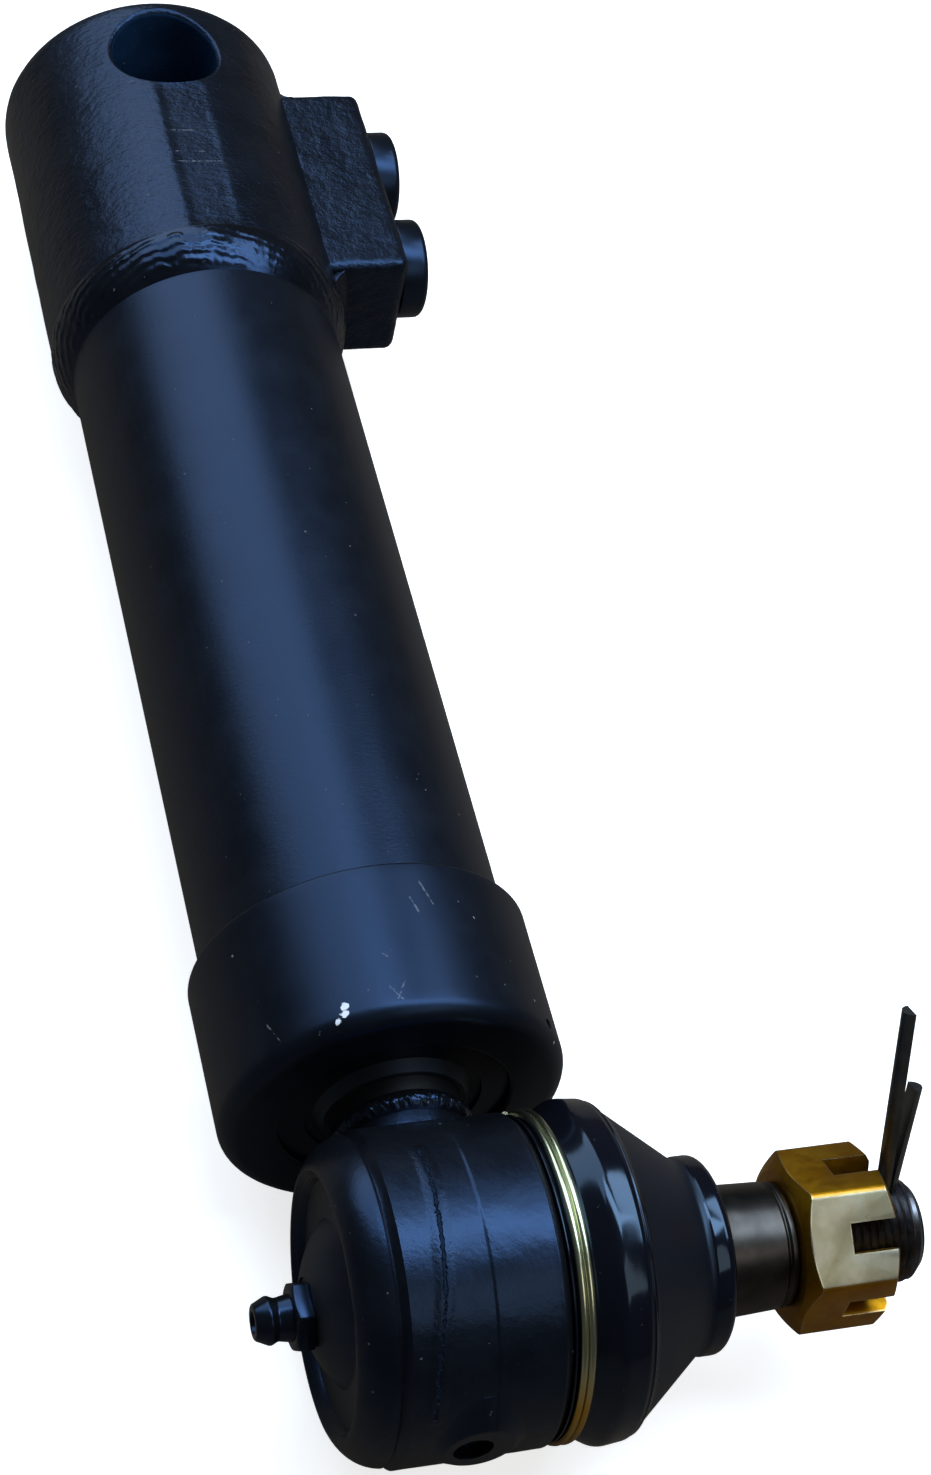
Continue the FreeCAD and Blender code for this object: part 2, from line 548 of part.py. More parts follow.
def inner_tube():
    """Honed inner tube. Oil for the rod side runs outside it and enters through a ring of holes."""
    body = new_body("inner_tube")
    turned(body, [
        ("liner_start", "liner_bore / 2"),
        ("liner_start", LINER_R),
        ("liner_end", LINER_R),
        ("liner_end", "liner_bore / 2"),
    ])
    hole = new_sketch(body, "XY_Plane", "0")
    circle(hole, "transfer_at", "0", "transfer_d")
    pocket = extruded(body, hole, f"{LINER_R} + past", cut=True, back=True)
    pattern = body.newObject("PartDesign::PolarPattern", "OilHoles")
    pattern.Originals = [pocket]
    pattern.Axis = (plane_of(body, "X_Axis"), [""])
    pattern.Angle = 360
    pattern.Occurrences = 4
    body.Tip = pattern
    doc.recompute()
    return body


def port_block():
    """Cast block with both threaded ports, saddled on the side of the base end."""
    body = new_body("port_block")
    face = new_sketch(body, "XZ_Plane", "-block_out")
    outline(face, [
        ("-block_back", "-block_high / 2"), ("block_front", "-block_high / 2"),
        ("block_front", "block_high / 2"), ("-block_back", "block_high / 2")])
    extruded(body, face, f"block_out - {BASE_R} / 2")
    inner = size(f"{BASE_R} / 2 + snug")
    rounded(body, "Fillet", "block_round", lambda e: e.BoundBox.YMax > inner)
    turned(body, [
        ("-base_d", "0"), ("-base_d", f"{BASE_R} + snug"),
        ("base_d * 2", f"{BASE_R} + snug"), ("base_d * 2", "0")], cut=True)
    for port in ("rear_port", "front_port"):
        thread = new_sketch(body, "XZ_Plane", "-block_out")
        circle(thread, port, "0", "port_thread_d")
        extruded(body, thread, "port_deep", cut=True, back=True)
        oil = new_sketch(body, "XZ_Plane", "-block_out")
        circle(oil, port, "0", "drill_d")
        extruded(body, oil, "block_out - base_d / 4", cut=True, back=True)
    return body


def block_weld(label, face, away):
    """Weld bead between one end face of the port block and the base end."""
    body = new_body(label)
    bead = new_sketch(body, "XY_Plane")
    outline(bead, [
        (face, BASE_R), (f"{face} + {away} * block_bead", BASE_R),
        (face, f"{BASE_R} + block_bead", "block_bead * bead_crown", away)])
    feature = body.newObject("PartDesign::Revolution", "Bead")
    feature.Profile = bead
    feature.ReferenceAxis = (bead, ["H_Axis"])
    feature.Midplane = True
    bind(feature, "Angle", f"2 * asin((block_high / 2 - block_round) / ({BASE_R}))")
    doc.recompute()
    return body


def port_plug(label, port):
    """Round-headed port plug with a hexagon socket in its outer face."""
    body = new_body(label, (port, "block_out", "0"))
    turned(body, [
        ("0", "-plug_shank"),
        ("port_thread_d / 2 - snug", "-plug_shank"),
        ("port_thread_d / 2 - snug", "0"),
        ("plug_head_d / 2", "0"),
        ("plug_head_d / 2", "plug_head"),
        ("0", "plug_head"),
    ], axis="V_Axis")
    top, radius = size("plug_head"), size("plug_head_d / 2")
    rounded(body, "Fillet", "plug_round", lambda e: is_ring(e, "y", top, radius))
    socket = new_sketch(body, "XZ_Plane", "-plug_head")
    hexagon(socket, "plug_hex", "0")
    extruded(body, socket, "plug_hex_deep", cut=True, back=True)
    return body


def gland_nut():
    """Gland nut screwed over the end of the barrel tube, with a rounded front rim."""
    body = new_body("gland_nut")
    turned(body, [
        ("nut_back", "tube_d / 2 + snug"),
        ("nut_back", "nut_d / 2"),
        ("nut_front", "nut_d / 2"),
        ("nut_front", "nut_mouth_d / 2"),
        ("nut_front - nut_wall", "nut_mouth_d / 2"),
        ("nut_front - nut_wall", "nut_thread_d / 2 + snug"),
        ("nut_back + nut_skirt", "nut_thread_d / 2 + snug"),
        ("nut_back + nut_skirt", "tube_d / 2 + snug"),
    ])
    front, back, radius = size("nut_front"), size("nut_back"), size("nut_d / 2")
    rounded(body, "Fillet", "nut_round", lambda e: is_ring(e, "x", front, radius))
    rounded(body, "Chamfer", "nut_edge", lambda e: is_ring(e, "x", back, radius))
    hole = new_sketch(body, "XY_Plane")
    hole.AttachmentOffset = Placement(Vector(), Rotation(Vector(1, 0, 0), size("pinch_hole_angle - 90")))
    bind(hole, "AttachmentOffset.Rotation.Angle", "pinch_hole_angle - 90")
    bind(hole, "AttachmentOffset.Base.y", "nut_d / 2 * cos(pinch_hole_angle)")
    bind(hole, "AttachmentOffset.Base.z", "nut_d / 2 * sin(pinch_hole_angle)")
    circle(hole, "nut_front - pinch_hole_at", "0", "pinch_hole_d")
    extruded(body, hole, "pinch_hole_deep", cut=True)
    return body


def rod_guide():
    """Rod guide: a spigot in the inner tube, a collar in the barrel tube and a flange under the gland nut."""
    body = new_body("rod_guide")
    outer_groove = "ring_section * ring_squeeze"
    bush_out = f"{ROD_R} + bush_wall + snug"
    turned(body, [
        ("guide_start", bush_out),
        ("guide_start", "liner_bore / 2 - snug - guide_edge"),
        ("guide_start + guide_edge", "liner_bore / 2 - snug"),
        ("inner_ring_at - ring_section / 2 - snug", "liner_bore / 2 - snug"),
        ("inner_ring_at - ring_section / 2 - snug", f"liner_bore / 2 - snug - {outer_groove}"),
        ("inner_ring_at + ring_section / 2 + snug", f"liner_bore / 2 - snug - {outer_groove}"),
        ("inner_ring_at + ring_section / 2 + snug", "liner_bore / 2 - snug"),
        ("liner_end", "liner_bore / 2 - snug"),
        ("liner_end", f"{TUBE_IN} - snug"),
        ("outer_ring_at - ring_section / 2 - snug", f"{TUBE_IN} - snug"),
        ("outer_ring_at - ring_section / 2 - snug", f"{TUBE_IN} - snug - {outer_groove}"),
        ("outer_ring_at + ring_section / 2 + snug", f"{TUBE_IN} - snug - {outer_groove}"),
        ("outer_ring_at + ring_section / 2 + snug", f"{TUBE_IN} - snug"),
        ("tube_end", f"{TUBE_IN} - snug"),
        ("tube_end", "nut_thread_d / 2 - snug"),
        ("nut_front - nut_wall", "nut_thread_d / 2 - snug"),
        ("nut_front - nut_wall", "nut_mouth_d / 2 - snug"),
        ("guide_face", "nut_mouth_d / 2 - snug"),
        ("guide_face", f"{ROD_R} + wiper_wall + snug"),
        ("wiper_at", f"{ROD_R} + wiper_wall + snug"),
        ("wiper_at", f"{ROD_R} + free_gap"),
        ("rod_seal_at + rod_seal_long + snug", f"{ROD_R} + free_gap"),
        ("rod_seal_at + rod_seal_long + snug", f"{ROD_R} + rod_seal_wall + snug"),
        ("rod_seal_at - snug", f"{ROD_R} + rod_seal_wall + snug"),
        ("rod_seal_at - snug", f"{ROD_R} + free_gap"),
        ("bush_start + bush_long", f"{ROD_R} + free_gap"),
        ("bush_start + bush_long", bush_out),
    ])
    return body


def guide_bush():
    """Plain bush that the rod slides in."""
    body = new_body("guide_bush")
    turned(body, [
        ("bush_start", f"{ROD_R} + running"),
        ("bush_start", f"{ROD_R} + bush_wall"),
        ("bush_start + bush_long", f"{ROD_R} + bush_wall"),
        ("bush_start + bush_long", f"{ROD_R} + running"),
    ])
    return body


def rod_seal():
    """Lip seal on the rod, open towards the pressure."""
    body = new_body("rod_seal")
    middle = f"{ROD_R} + running + (rod_seal_wall - running) / 2"
    turned(body, [
        ("rod_seal_at", f"{ROD_R} + running"),
        ("rod_seal_at", f"{ROD_R} + running + seal_lip"),
        ("rod_seal_at + rod_seal_long / 2", middle),
        ("rod_seal_at", f"{ROD_R} + rod_seal_wall - seal_lip"),
        ("rod_seal_at", f"{ROD_R} + rod_seal_wall"),
        ("rod_seal_at + rod_seal_long", f"{ROD_R} + rod_seal_wall"),
        ("rod_seal_at + rod_seal_long", f"{ROD_R} + running"),
    ])
    return body


def wiper_seal():
    """Wiper at the mouth of the guide, with a lip that stands out along the rod."""
    body = new_body("wiper_seal")
    turned(body, [
        ("wiper_at + snug", f"{ROD_R} + wiper_base"),
        ("wiper_at + snug", f"{ROD_R} + wiper_wall"),
        ("guide_face - wiper_sunk", f"{ROD_R} + wiper_wall"),
        ("guide_face - wiper_sunk", f"{ROD_R} + wiper_wall - wiper_flank"),
        ("guide_face + wiper_lip", f"{ROD_R} + wiper_base"),
        ("guide_face + wiper_lip", f"{ROD_R} + running"),
        ("guide_face", f"{ROD_R} + running"),
    ])
    return body


def sealing_ring(label, at, inside, section):
    """Static sealing ring, slightly flattened in its groove. It is placed by its inside radius."""
    body = new_body(label)
    high = f"{section} * ring_squeeze - snug"
    corner = f"{section} * ring_corner_share"
    left, right = f"{at} - {section} / 2", f"{at} + {section} / 2"
    turned(body, [
        (f"{left} + {corner}", inside),
        (left, f"{inside} + {corner}", corner, -1),
        (left, f"{inside} + {high} - {corner}"),
        (f"{left} + {corner}", f"{inside} + {high}", corner, -1),
        (f"{right} - {corner}", f"{inside} + {high}"),
        (right, f"{inside} + {high} - {corner}", corner, -1),
        (right, f"{inside} + {corner}"),
        (f"{right} - {corner}", inside, corner, -1),
    ])
    return body


def piston_rod():
    """Chromed rod with a spigot and a thread for the piston."""
    body = new_body("piston_rod")
    turned(body, [
        ("piston_start + rod_short", "0"),
        ("piston_start + rod_short", "rod_thread_d / 2 - rod_edge"),
        ("piston_start + rod_short + rod_edge", "rod_thread_d / 2"),
        ("piston_start + nut_pocket_deep", "rod_thread_d / 2"),
        ("piston_start + nut_pocket_deep", "spigot_d / 2"),
        (PISTON_END, "spigot_d / 2"),
        (PISTON_END, ROD_R),
        ("boss_face - weld_bevel", ROD_R),
        ("boss_face", f"{ROD_R} - weld_bevel"),
        ("boss_face", "0"),
    ])
    return body


def piston():
    """Piston with grooves for its seal and wear ring and a pocket for its nut."""
    body = new_body("piston")
    metal = "liner_bore / 2 - piston_gap"
    seal_floor = "liner_bore / 2 - seal_deep"
    wear_floor = "liner_bore / 2 - wear_deep"
    turned(body, [
        ("piston_start", "nut_pocket_d / 2"),
        ("piston_start", f"{metal} - piston_edge"),
        ("piston_start + piston_edge", metal),
        ("piston_start + seal_at", metal),
        ("piston_start + seal_at", seal_floor),
        ("piston_start + seal_at + seal_long", seal_floor),
        ("piston_start + seal_at + seal_long", metal),
        ("piston_start + wear_at", metal),
        ("piston_start + wear_at", wear_floor),
        ("piston_start + wear_at + wear_long", wear_floor),
        ("piston_start + wear_at + wear_long", metal),
        (f"{PISTON_END} - piston_edge", metal),
        (PISTON_END, f"{metal} - piston_edge"),
        (PISTON_END, "spigot_d / 2 + snug"),
        ("piston_start + spigot_ring_at + spigot_ring", "spigot_d / 2 + snug"),
        ("piston_start + spigot_ring_at + spigot_ring", "spigot_d / 2 + spigot_ring * ring_squeeze"),
        ("piston_start + spigot_ring_at", "spigot_d / 2 + spigot_ring * ring_squeeze"),
        ("piston_start + spigot_ring_at", "spigot_d / 2 + snug"),
        ("piston_start + nut_pocket_deep", "spigot_d / 2 + snug"),
        ("piston_start + nut_pocket_deep", "nut_pocket_d / 2"),
    ])
    return body


def piston_band(label, at, long, deep):
    """Seal or wear ring: it grips the bore and turns freely on the piston."""
    body = new_body(label)
    turned(body, [
        (f"piston_start + {at} + running", f"liner_bore / 2 - {deep} + running"),
        (f"piston_start + {at} + running", "liner_bore / 2 - running"),
        (f"piston_start + {at} + {long} - running", "liner_bore / 2 - running"),
        (f"piston_start + {at} + {long} - running", f"liner_bore / 2 - {deep} + running"),
    ])
    return body


def piston_nut():
    """Hexagon nut that holds the piston on the rod, sunk in the piston's pocket."""
    body = new_body("piston_nut", ("piston_start + nut_pocket_deep - piston_nut_high", "0", "0"))
    section = new_sketch(body, "YZ_Plane")
    hexagon(section, "piston_nut_flats", "30")
    circle(section, "0", "0", "rod_thread_d + snug * 2")
    extruded(body, section, "piston_nut_high")
    return body


def rod_weld():
    """Weld bead in the groove between the rod and the boss of the ball housing."""
    body = new_body("rod_weld")
    turned(body, [
        ("boss_face - weld_bevel", ROD_R, "(weld_bevel ^ 2 + weld_rise ^ 2) / 2 / weld_rise", 1),
        ("boss_face", f"{ROD_R} - weld_bevel"),
        ("boss_face + weld_bevel", ROD_R),
    ])
    return body


def ball_housing():
    """Forged housing of the ball joint: a rolled lip at the plug end, a spigot for the boot at the other."""
    body = new_body("ball_housing", BALL)
    outer = "housing_d / 2"
    turned(body, [
        ("housing_mouth_d / 2", "-housing_mouth"),
        ("housing_mouth_d / 2 + lip_thick", "-housing_mouth"),
        (f"{outer} - groove_deep", "-groove_at - groove_deep", "lip_round", 1),
        (f"{outer} - groove_deep * 2", "-groove_at"),
        (outer, "-groove_at + groove_deep * 2"),
        (outer, "housing_top - housing_edge"),
        (f"{outer} - housing_edge", "housing_top"),
        ("boot_seat_d / 2", "housing_top"),
        ("boot_seat_d / 2", "housing_neck"),
        ("housing_neck_d / 2 + neck_flare", "housing_neck"),
        ("housing_neck_d / 2", "housing_neck - neck_flare_deep"),
        ("housing_neck_d / 2", "seat_top"),
        ("housing_bore_d / 2", "seat_top"),
        ("housing_bore_d / 2", "-plug_back - plug_thick"),
        ("housing_bore_d / 2 - housing_edge", "-plug_back - plug_thick"),
    ], axis="V_Axis")
    # Boss for the rod, in line with the cylinder and bevelled for its weld.
    turned(body, [
        ("-housing_d / 2 - boss_long", "0"),
        ("-housing_d / 2 - boss_long", f"{ROD_R} - weld_bevel"),
        ("-housing_d / 2 - boss_long + weld_bevel", ROD_R),
        ("-housing_bore_d / 2 - boss_sunk", ROD_R),
        ("-housing_bore_d / 2 - boss_sunk", "0"),
    ])
    # Low pad with a centring hole, opposite the boss.
    turned(body, [
        ("housing_bore_d / 2 + boss_sunk", "0"),
        ("housing_bore_d / 2 + boss_sunk", "pad_foot_d / 2"),
        ("sqrt((housing_d / 2) ^ 2 - (pad_foot_d / 2) ^ 2)", "pad_foot_d / 2"),
        ("housing_d / 2 + pad_rise", "pad_d / 2"),
        ("housing_d / 2 + pad_rise", "0"),
    ])
    centring = new_sketch(body, "YZ_Plane", "housing_d / 2 + pad_rise")
    circle(centring, "drain_at", "0", "drain_d")
    extruded(body, centring, "drain_deep", cut=True)
    return body


def end_plug():
    """Domed plug closed in by the rolled lip, with a threaded hole for the grease nipple."""
    body = new_body("end_plug", BALL)
    edge = "housing_bore_d / 2 - snug"
    dome = "((housing_bore_d / 2 - dome_rim) ^ 2 + plug_dome ^ 2) / 2 / plug_dome"
    turned(body, [
        ("0", "-plug_back"),
        ("0", "-plug_back - plug_thick - plug_dome"),
        ("housing_bore_d / 2 - dome_rim", "-plug_back - plug_thick", dome, 1),
        (edge, "-plug_back - plug_thick"),
        (edge, "-plug_back"),
    ], axis="V_Axis")
    hole = new_sketch(body, "XZ_Plane", "plug_back - past")
    circle(hole, "nipple_off", "0", "nipple_thread_d")
    extruded(body, hole, "plug_thick + plug_dome + past * 2", cut=True, back=True)
    # Flat seat for the hexagon of the nipple.
    seat = new_sketch(body, "XZ_Plane", "plug_back + plug_thick + plug_dome")
    circle(seat, "nipple_off", "0", "nipple_flats / cos(30) + snug * 2")
    extruded(body, seat, "nipple_sink", cut=True)
    return body


def grease_nipple():
    """Grease nipple: a threaded shank, a hexagon, and a rounded head on a neck with a mouth in its end."""
    seat = "-plug_back - plug_thick - plug_dome + nipple_sink"
    body = new_body("grease_nipple", ("ball_at + nipple_off", seat, "0"))
    shank = "nipple_thread_d / 2 - snug"
    turned(body, [
        ("0", "plug_thick + plug_dome"),
        (shank, "plug_thick + plug_dome"),
        (shank, "-nipple_head / 2"),
        ("nipple_root_d / 2", "-nipple_head / 2"),
        ("nipple_root_d / 2", "-nipple_head"),
        ("nipple_neck_d / 2", "-nipple_neck_at"),
        ("nipple_ball_d / 2", "-nipple_ball_at"),
        ("nipple_tip_d / 2", "-nipple_long"),
        ("0", "-nipple_long"),
    ], axis="V_Axis")
    head = new_sketch(body, "XZ_Plane")
    hexagon(head, "nipple_flats", "0")
    extruded(body, head, "nipple_head")
    turned(body, [
        ("nipple_flats / 2 - castle_land", "-nipple_head"),
        ("nipple_flats / 2 - castle_land + nipple_edge * 2", "nipple_edge - nipple_head"),
        ("nipple_flats / 2 - castle_land + nipple_edge * 2", "-nipple_head - nipple_edge"),
        ("nipple_flats / 2 - castle_land", "-nipple_head - nipple_edge"),
    ], axis="V_Axis", cut=True)
    mouth = new_sketch(body, "XZ_Plane", "nipple_long")
    circle(mouth, "0", "0", "nipple_mouth_d")
    extruded(body, mouth, "nipple_mouth_deep", cut=True)
    return body


def seat_spring():
    """Dished spring washer that loads the lower seat against the ball."""
    body = new_body("seat_spring", BALL)
    turned(body, [
        ("spring_hole / 2", "-plug_back + snug"),
        ("spring_hole / 2", "-plug_back + snug + spring_thick"),
        ("spring_d / 2", "-seat_back - spring_room"),
        ("spring_d / 2", "-seat_back - spring_room - spring_thick"),
    ], axis="V_Axis")
    return body


def lower_seat():
    """Half shell under the ball, pressed up by the spring washer."""
    body = new_body("lower_seat", BALL)
    turned(body, [
        (f"sqrt({SEAT_R} ^ 2 - seat_back ^ 2)", "-seat_back", SEAT_R, -1),
        ("housing_bore_d / 2 - running", "-seat_back"),
        ("housing_bore_d / 2 - running", "-seat_split"),
        (f"sqrt({SEAT_R} ^ 2 - seat_split ^ 2)", "-seat_split"),
    ], axis="V_Axis")
    return body


def upper_seat():
    """Half shell over the ball, flared where the neck of the stud swings."""
    body = new_body("upper_seat", BALL)
    turned(body, [
        (f"sqrt({SEAT_R} ^ 2 - seat_split ^ 2)", "seat_split", SEAT_R, -1),
        ("housing_bore_d / 2 - running", "seat_split"),
        ("housing_bore_d / 2 - running", "seat_top - running"),
        ("seat_mouth_d / 2 + seat_flare", "seat_top - running"),
        ("seat_mouth_d / 2", f"sqrt({SEAT_R} ^ 2 - (seat_mouth_d / 2) ^ 2)"),
    ], axis="V_Axis")
    return body


def ball_stud():
    """Ball stud: ball, neck, taper and thread with a cross hole."""
    body = new_body("ball_stud", BALL)
    ball_r = "ball_d / 2"
    neck_r = "stud_neck_d / 2"
    taper_small = "taper_big_d / 2 - (taper_end - taper_start) / taper_ratio / 2"
    turned(body, [
        ("0", f"-{ball_r}"),
        (neck_r, f"sqrt(({ball_r}) ^ 2 - ({neck_r}) ^ 2)", ball_r, 1),
        (neck_r, "stud_neck_end"),
        ("taper_big_d / 2", "taper_start"),
        (taper_small, "taper_end - taper_edge"),
        (f"{taper_small} - taper_edge", "taper_end"),
        ("thread_run_d / 2", "taper_end"),
        ("thread_run_d / 2", "thread_start"),
        ("thread_d / 2", "thread_start + thread_edge"),
        ("thread_d / 2", "stud_end - stud_edge"),
        ("thread_d / 2 - stud_edge", "stud_end"),
        ("0", "stud_end"),
    ], axis="V_Axis")
    # Cross hole, leaning with the cotter pin.
    cross = new_sketch(body, "XY_Plane")
    cross.AttachmentOffset = Placement(Vector(), Rotation(Vector(0, -1, 0), size("pin_angle")))
    bind(cross, "AttachmentOffset.Rotation.Angle", "pin_angle")
    circle(cross, "0", "pin_hole_at", "pin_hole_d")
    drilled = extruded(body, cross, "thread_d * 2", cut=True)
    drilled.Midplane = True
    doc.recompute()
    return body


def castle_nut():
    """Slotted hexagon nut with its corners turned to a bevel at both ends."""
    body = new_body("castle_nut", ("ball_at", "castle_start", "0"))
    section = new_sketch(body, "XZ_Plane")
    hexagon(section, "castle_flats", "30")
    circle(section, "0", "0", "thread_d + snug * 2")
    extruded(body, section, "castle_high", back=True)
    inside, outside = "castle_flats / 2 - castle_land", "castle_flats / 2 + castle_flats / 8"
    for face, into, bevel in (("0", "1", "castle_back_bevel"), ("castle_high", "-1", "castle_bevel")):
        turned(body, [
            (inside, face), (outside, f"{face} + {into} * {bevel}"),
            (outside, f"{face} - {into}"), (inside, f"{face} - {into}")], axis="V_Axis", cut=True)
    slot = new_sketch(body, "XZ_Plane", "-castle_high")
    outline(slot, [
        ("0", "-castle_slot / 2"), ("castle_flats", "-castle_slot / 2"),
        ("castle_flats", "castle_slot / 2"), ("0", "castle_slot / 2")])
    pocket = extruded(body, slot, "castle_slot_deep", cut=True, back=True)
    pattern = body.newObject("PartDesign::PolarPattern", "Slots")
    pattern.Originals = [pocket]
    pattern.Axis = (plane_of(body, "Y_Axis"), [""])
    pattern.Angle = 360
    pattern.Occurrences = 6
    body.Tip = pattern
    doc.recompute()
    return body


def dust_boot():
    """Rubber boot: a foot under the wire ring, a full belly, a ridge, a cone and a thick neck."""
    body = new_body("dust_boot", BALL)
    belly, neck, lip = "boot_d / 2", "boot_neck_d / 2", "boot_lip_d / 2"
    foot_in = "boot_seat_d / 2 + snug"
    foot = "(housing_top + free_gap)"
    wire_end = "(wire_at + wire_pitch + wire_d)"
    bore = "taper_big_d / 2 - (boot_neck - grip_down - taper_start) / taper_ratio / 2 + running"
    turned(body, [
        (foot_in, foot),
        ("boot_hold_d / 2 + foot_lip", foot),
        ("boot_hold_d / 2 + foot_lip", f"{foot} + foot_lip_high"),
        ("boot_hold_d / 2", f"{foot} + foot_lip_high * 1.5"),
        ("boot_hold_d / 2", wire_end),
        (belly, f"{wire_end} + belly_up", "belly_round", -1),
        (f"{belly} - belly_flat", "boot_ridge - ridge_high", "shoulder_round", 1),
        (f"{belly} - ridge_drop", "boot_ridge", "ridge_round", 1),
        (neck, "boot_neck"),
        (lip, "boot_neck + lip_up", "neck_round", -1),
        (lip, "boot_end - lip_edge"),
        (f"{lip} - lip_edge", "boot_end", "lip_edge", 1),
        (bore, "boot_end"),
        (bore, "boot_neck - grip_down"),
        (f"{neck} - boot_wall - inner_slack", "boot_neck - boot_wall"),
        (f"{belly} - ridge_drop - boot_wall * 1.5", "boot_ridge - inner_slack"),
        (f"{belly} - boot_wall", "boot_ridge - belly_up"),
        (f"{belly} - boot_wall", f"{wire_end} + belly_up"),
        (foot_in, f"{wire_end} + ridge_drop"),
    ], axis="V_Axis")
    return body


def boot_ring():
    """Wire ring that holds the foot of the boot: two close turns, drawn as one solid."""
    body = new_body("boot_ring", ("ball_at", "wire_at", "0"))
    middle = "(boot_hold_d / 2 + wire_d / 2 + ring_room)"
    waist = "sqrt((wire_d / 2) ^ 2 - (wire_pitch / 2) ^ 2)"
    turned(body, [
        (f"{middle} + {waist}", "wire_pitch / 2", "wire_d / 2", -1),
        (middle, "-wire_d / 2", "wire_d / 2", -1),
        (f"{middle} - {waist}", "wire_pitch / 2", "wire_d / 2", -1),
        (middle, "wire_pitch + wire_d / 2", "wire_d / 2", -1),
    ], axis="V_Axis")
    return body


def pin_leg(body, side, reach, lean):
    """One half-round leg of the cotter pin: straight through the stud, then leaning."""
    gap = "pin_split / 2"
    half = f"sqrt((pin_d / 2) ^ 2 - ({gap}) ^ 2)"
    stations = (
        ("pin_eye_grip - pin_eye_out", "pin_eye_wall / 2 - pin_eye_sunk"),
        ("-thread_d / 2", "0"),
        ("thread_d / 2", "0"),
        (f"({reach}) * cos({lean})", f"(({reach}) - thread_d / 2) * sin({lean})"),
    )
    sketches = []
    for height, drift in stations:
        section = new_sketch(body, "XY_Plane", height)
        flat = f"{side} * {gap} + {drift}"
        outline(section, [(f"-{side} * {half}", flat, "pin_d / 2", 1), (f"{side} * {half}", flat)])
        sketches.append(section)
    for lower, upper in zip(sketches, sketches[1:]):
        loft = body.newObject("PartDesign::AdditiveLoft", "Leg")
        loft.Profile = lower
        loft.Sections = [upper]
        loft.Ruled = True
        doc.recompute()


def cotter_pin():
    """Cotter pin through the stud behind the castle nut, with its legs left almost straight."""
    body = new_body("cotter_pin", ("ball_at", "pin_hole_at", "0"))
    body.Placement = Placement(body.Placement.Base, Rotation(Vector(0, 1, 0), size("-pin_angle")))
    bind(body, "Placement.Rotation.Angle", "pin_angle")
    body.Placement.Rotation.Axis = Vector(0, -1, 0)
    ring = new_sketch(body, "YZ_Plane")
    circle(ring, "-pin_eye_sunk", "-pin_eye_out", "(pin_eye_r + pin_eye_wall) * 2")
    circle(ring, "-pin_eye_sunk", "-pin_eye_out", "pin_eye_r * 2")
    loop = body.newObject("PartDesign::Pad", "Eye")
    loop.Profile = ring
    bind(loop, "Length", "pin_eye_thick")
    loop.Midplane = True
    doc.recompute()
    pin_leg(body, "-1", "pin_long_leg", "pin_long_angle")
    pin_leg(body, "1", "pin_short_leg", "pin_short_angle")
    return body


def rings():
    """The four static sealing rings."""
    high = "ring_section * ring_squeeze"
    spigot_middle = "piston_start + spigot_ring_at + spigot_ring / 2"
    sealing_ring("liner_ring", "liner_ring_at", LINER_SEAT_R, "ring_section")
    sealing_ring("outer_guide_ring", "outer_ring_at", f"{TUBE_IN} - {high}", "ring_section")
    sealing_ring("inner_guide_ring", "inner_ring_at", f"liner_bore / 2 - {high}", "ring_section")
    sealing_ring("spigot_seal", spigot_middle, "spigot_d / 2", "spigot_ring")


def doubled():
    """Pieces that are made twice."""
    port_plug("port_plug_rear", "rear_port")
    port_plug("port_plug_front", "front_port")
    block_weld("block_weld_rear", "-block_back", -1)
    block_weld("block_weld_front", "block_front", 1)
    piston_band("piston_seal", "seal_at", "seal_long", "seal_deep")
    piston_band("wear_ring", "wear_at", "wear_long", "wear_deep")


PIECES = (
    base_end, base_weld, barrel_tube, inner_tube, port_block, gland_nut, rod_guide, guide_bush, rod_seal,
    wiper_seal, piston_rod, piston, piston_nut, rod_weld, ball_housing, end_plug, grease_nipple, seat_spring,
    lower_seat, upper_seat, ball_stud, castle_nut, dust_boot, boot_ring, cotter_pin, rings, doubled)
for make in PIECES:
    make()


doc.recompute()
for thing in doc.Objects:
    if "Invalid" in thing.State or "Error" in thing.State:
        raise RuntimeError(f"{thing.Name} failed: {thing.State}")
for part in PARTS:
    if part.Shape.isNull() or not part.Shape.isValid():
        raise RuntimeError(f"{part.Label} has no valid shape")

os.makedirs("parts", exist_ok=True)
for part in PARTS:
    part.Shape.exportStep(f"parts/{part.Label}.step")
    print(f"{part.Label}: {len(part.Shape.Solids)} solid, {part.Shape.Volume / 1000:.2f} cm3")
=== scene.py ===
# %% [markdown]
# # A hydraulic steering cylinder
#
# The cylinder steers an axle: a cross bore takes the pin at one end, a ball stud takes the steering arm at the
# other, and the rod slides in and out between them. The solids come from the part's CAD model and stay where they
# are. This lesson dresses them: every form that catches the light is built again with a finer mesh, and every
# surface gets a finish made of nodes.

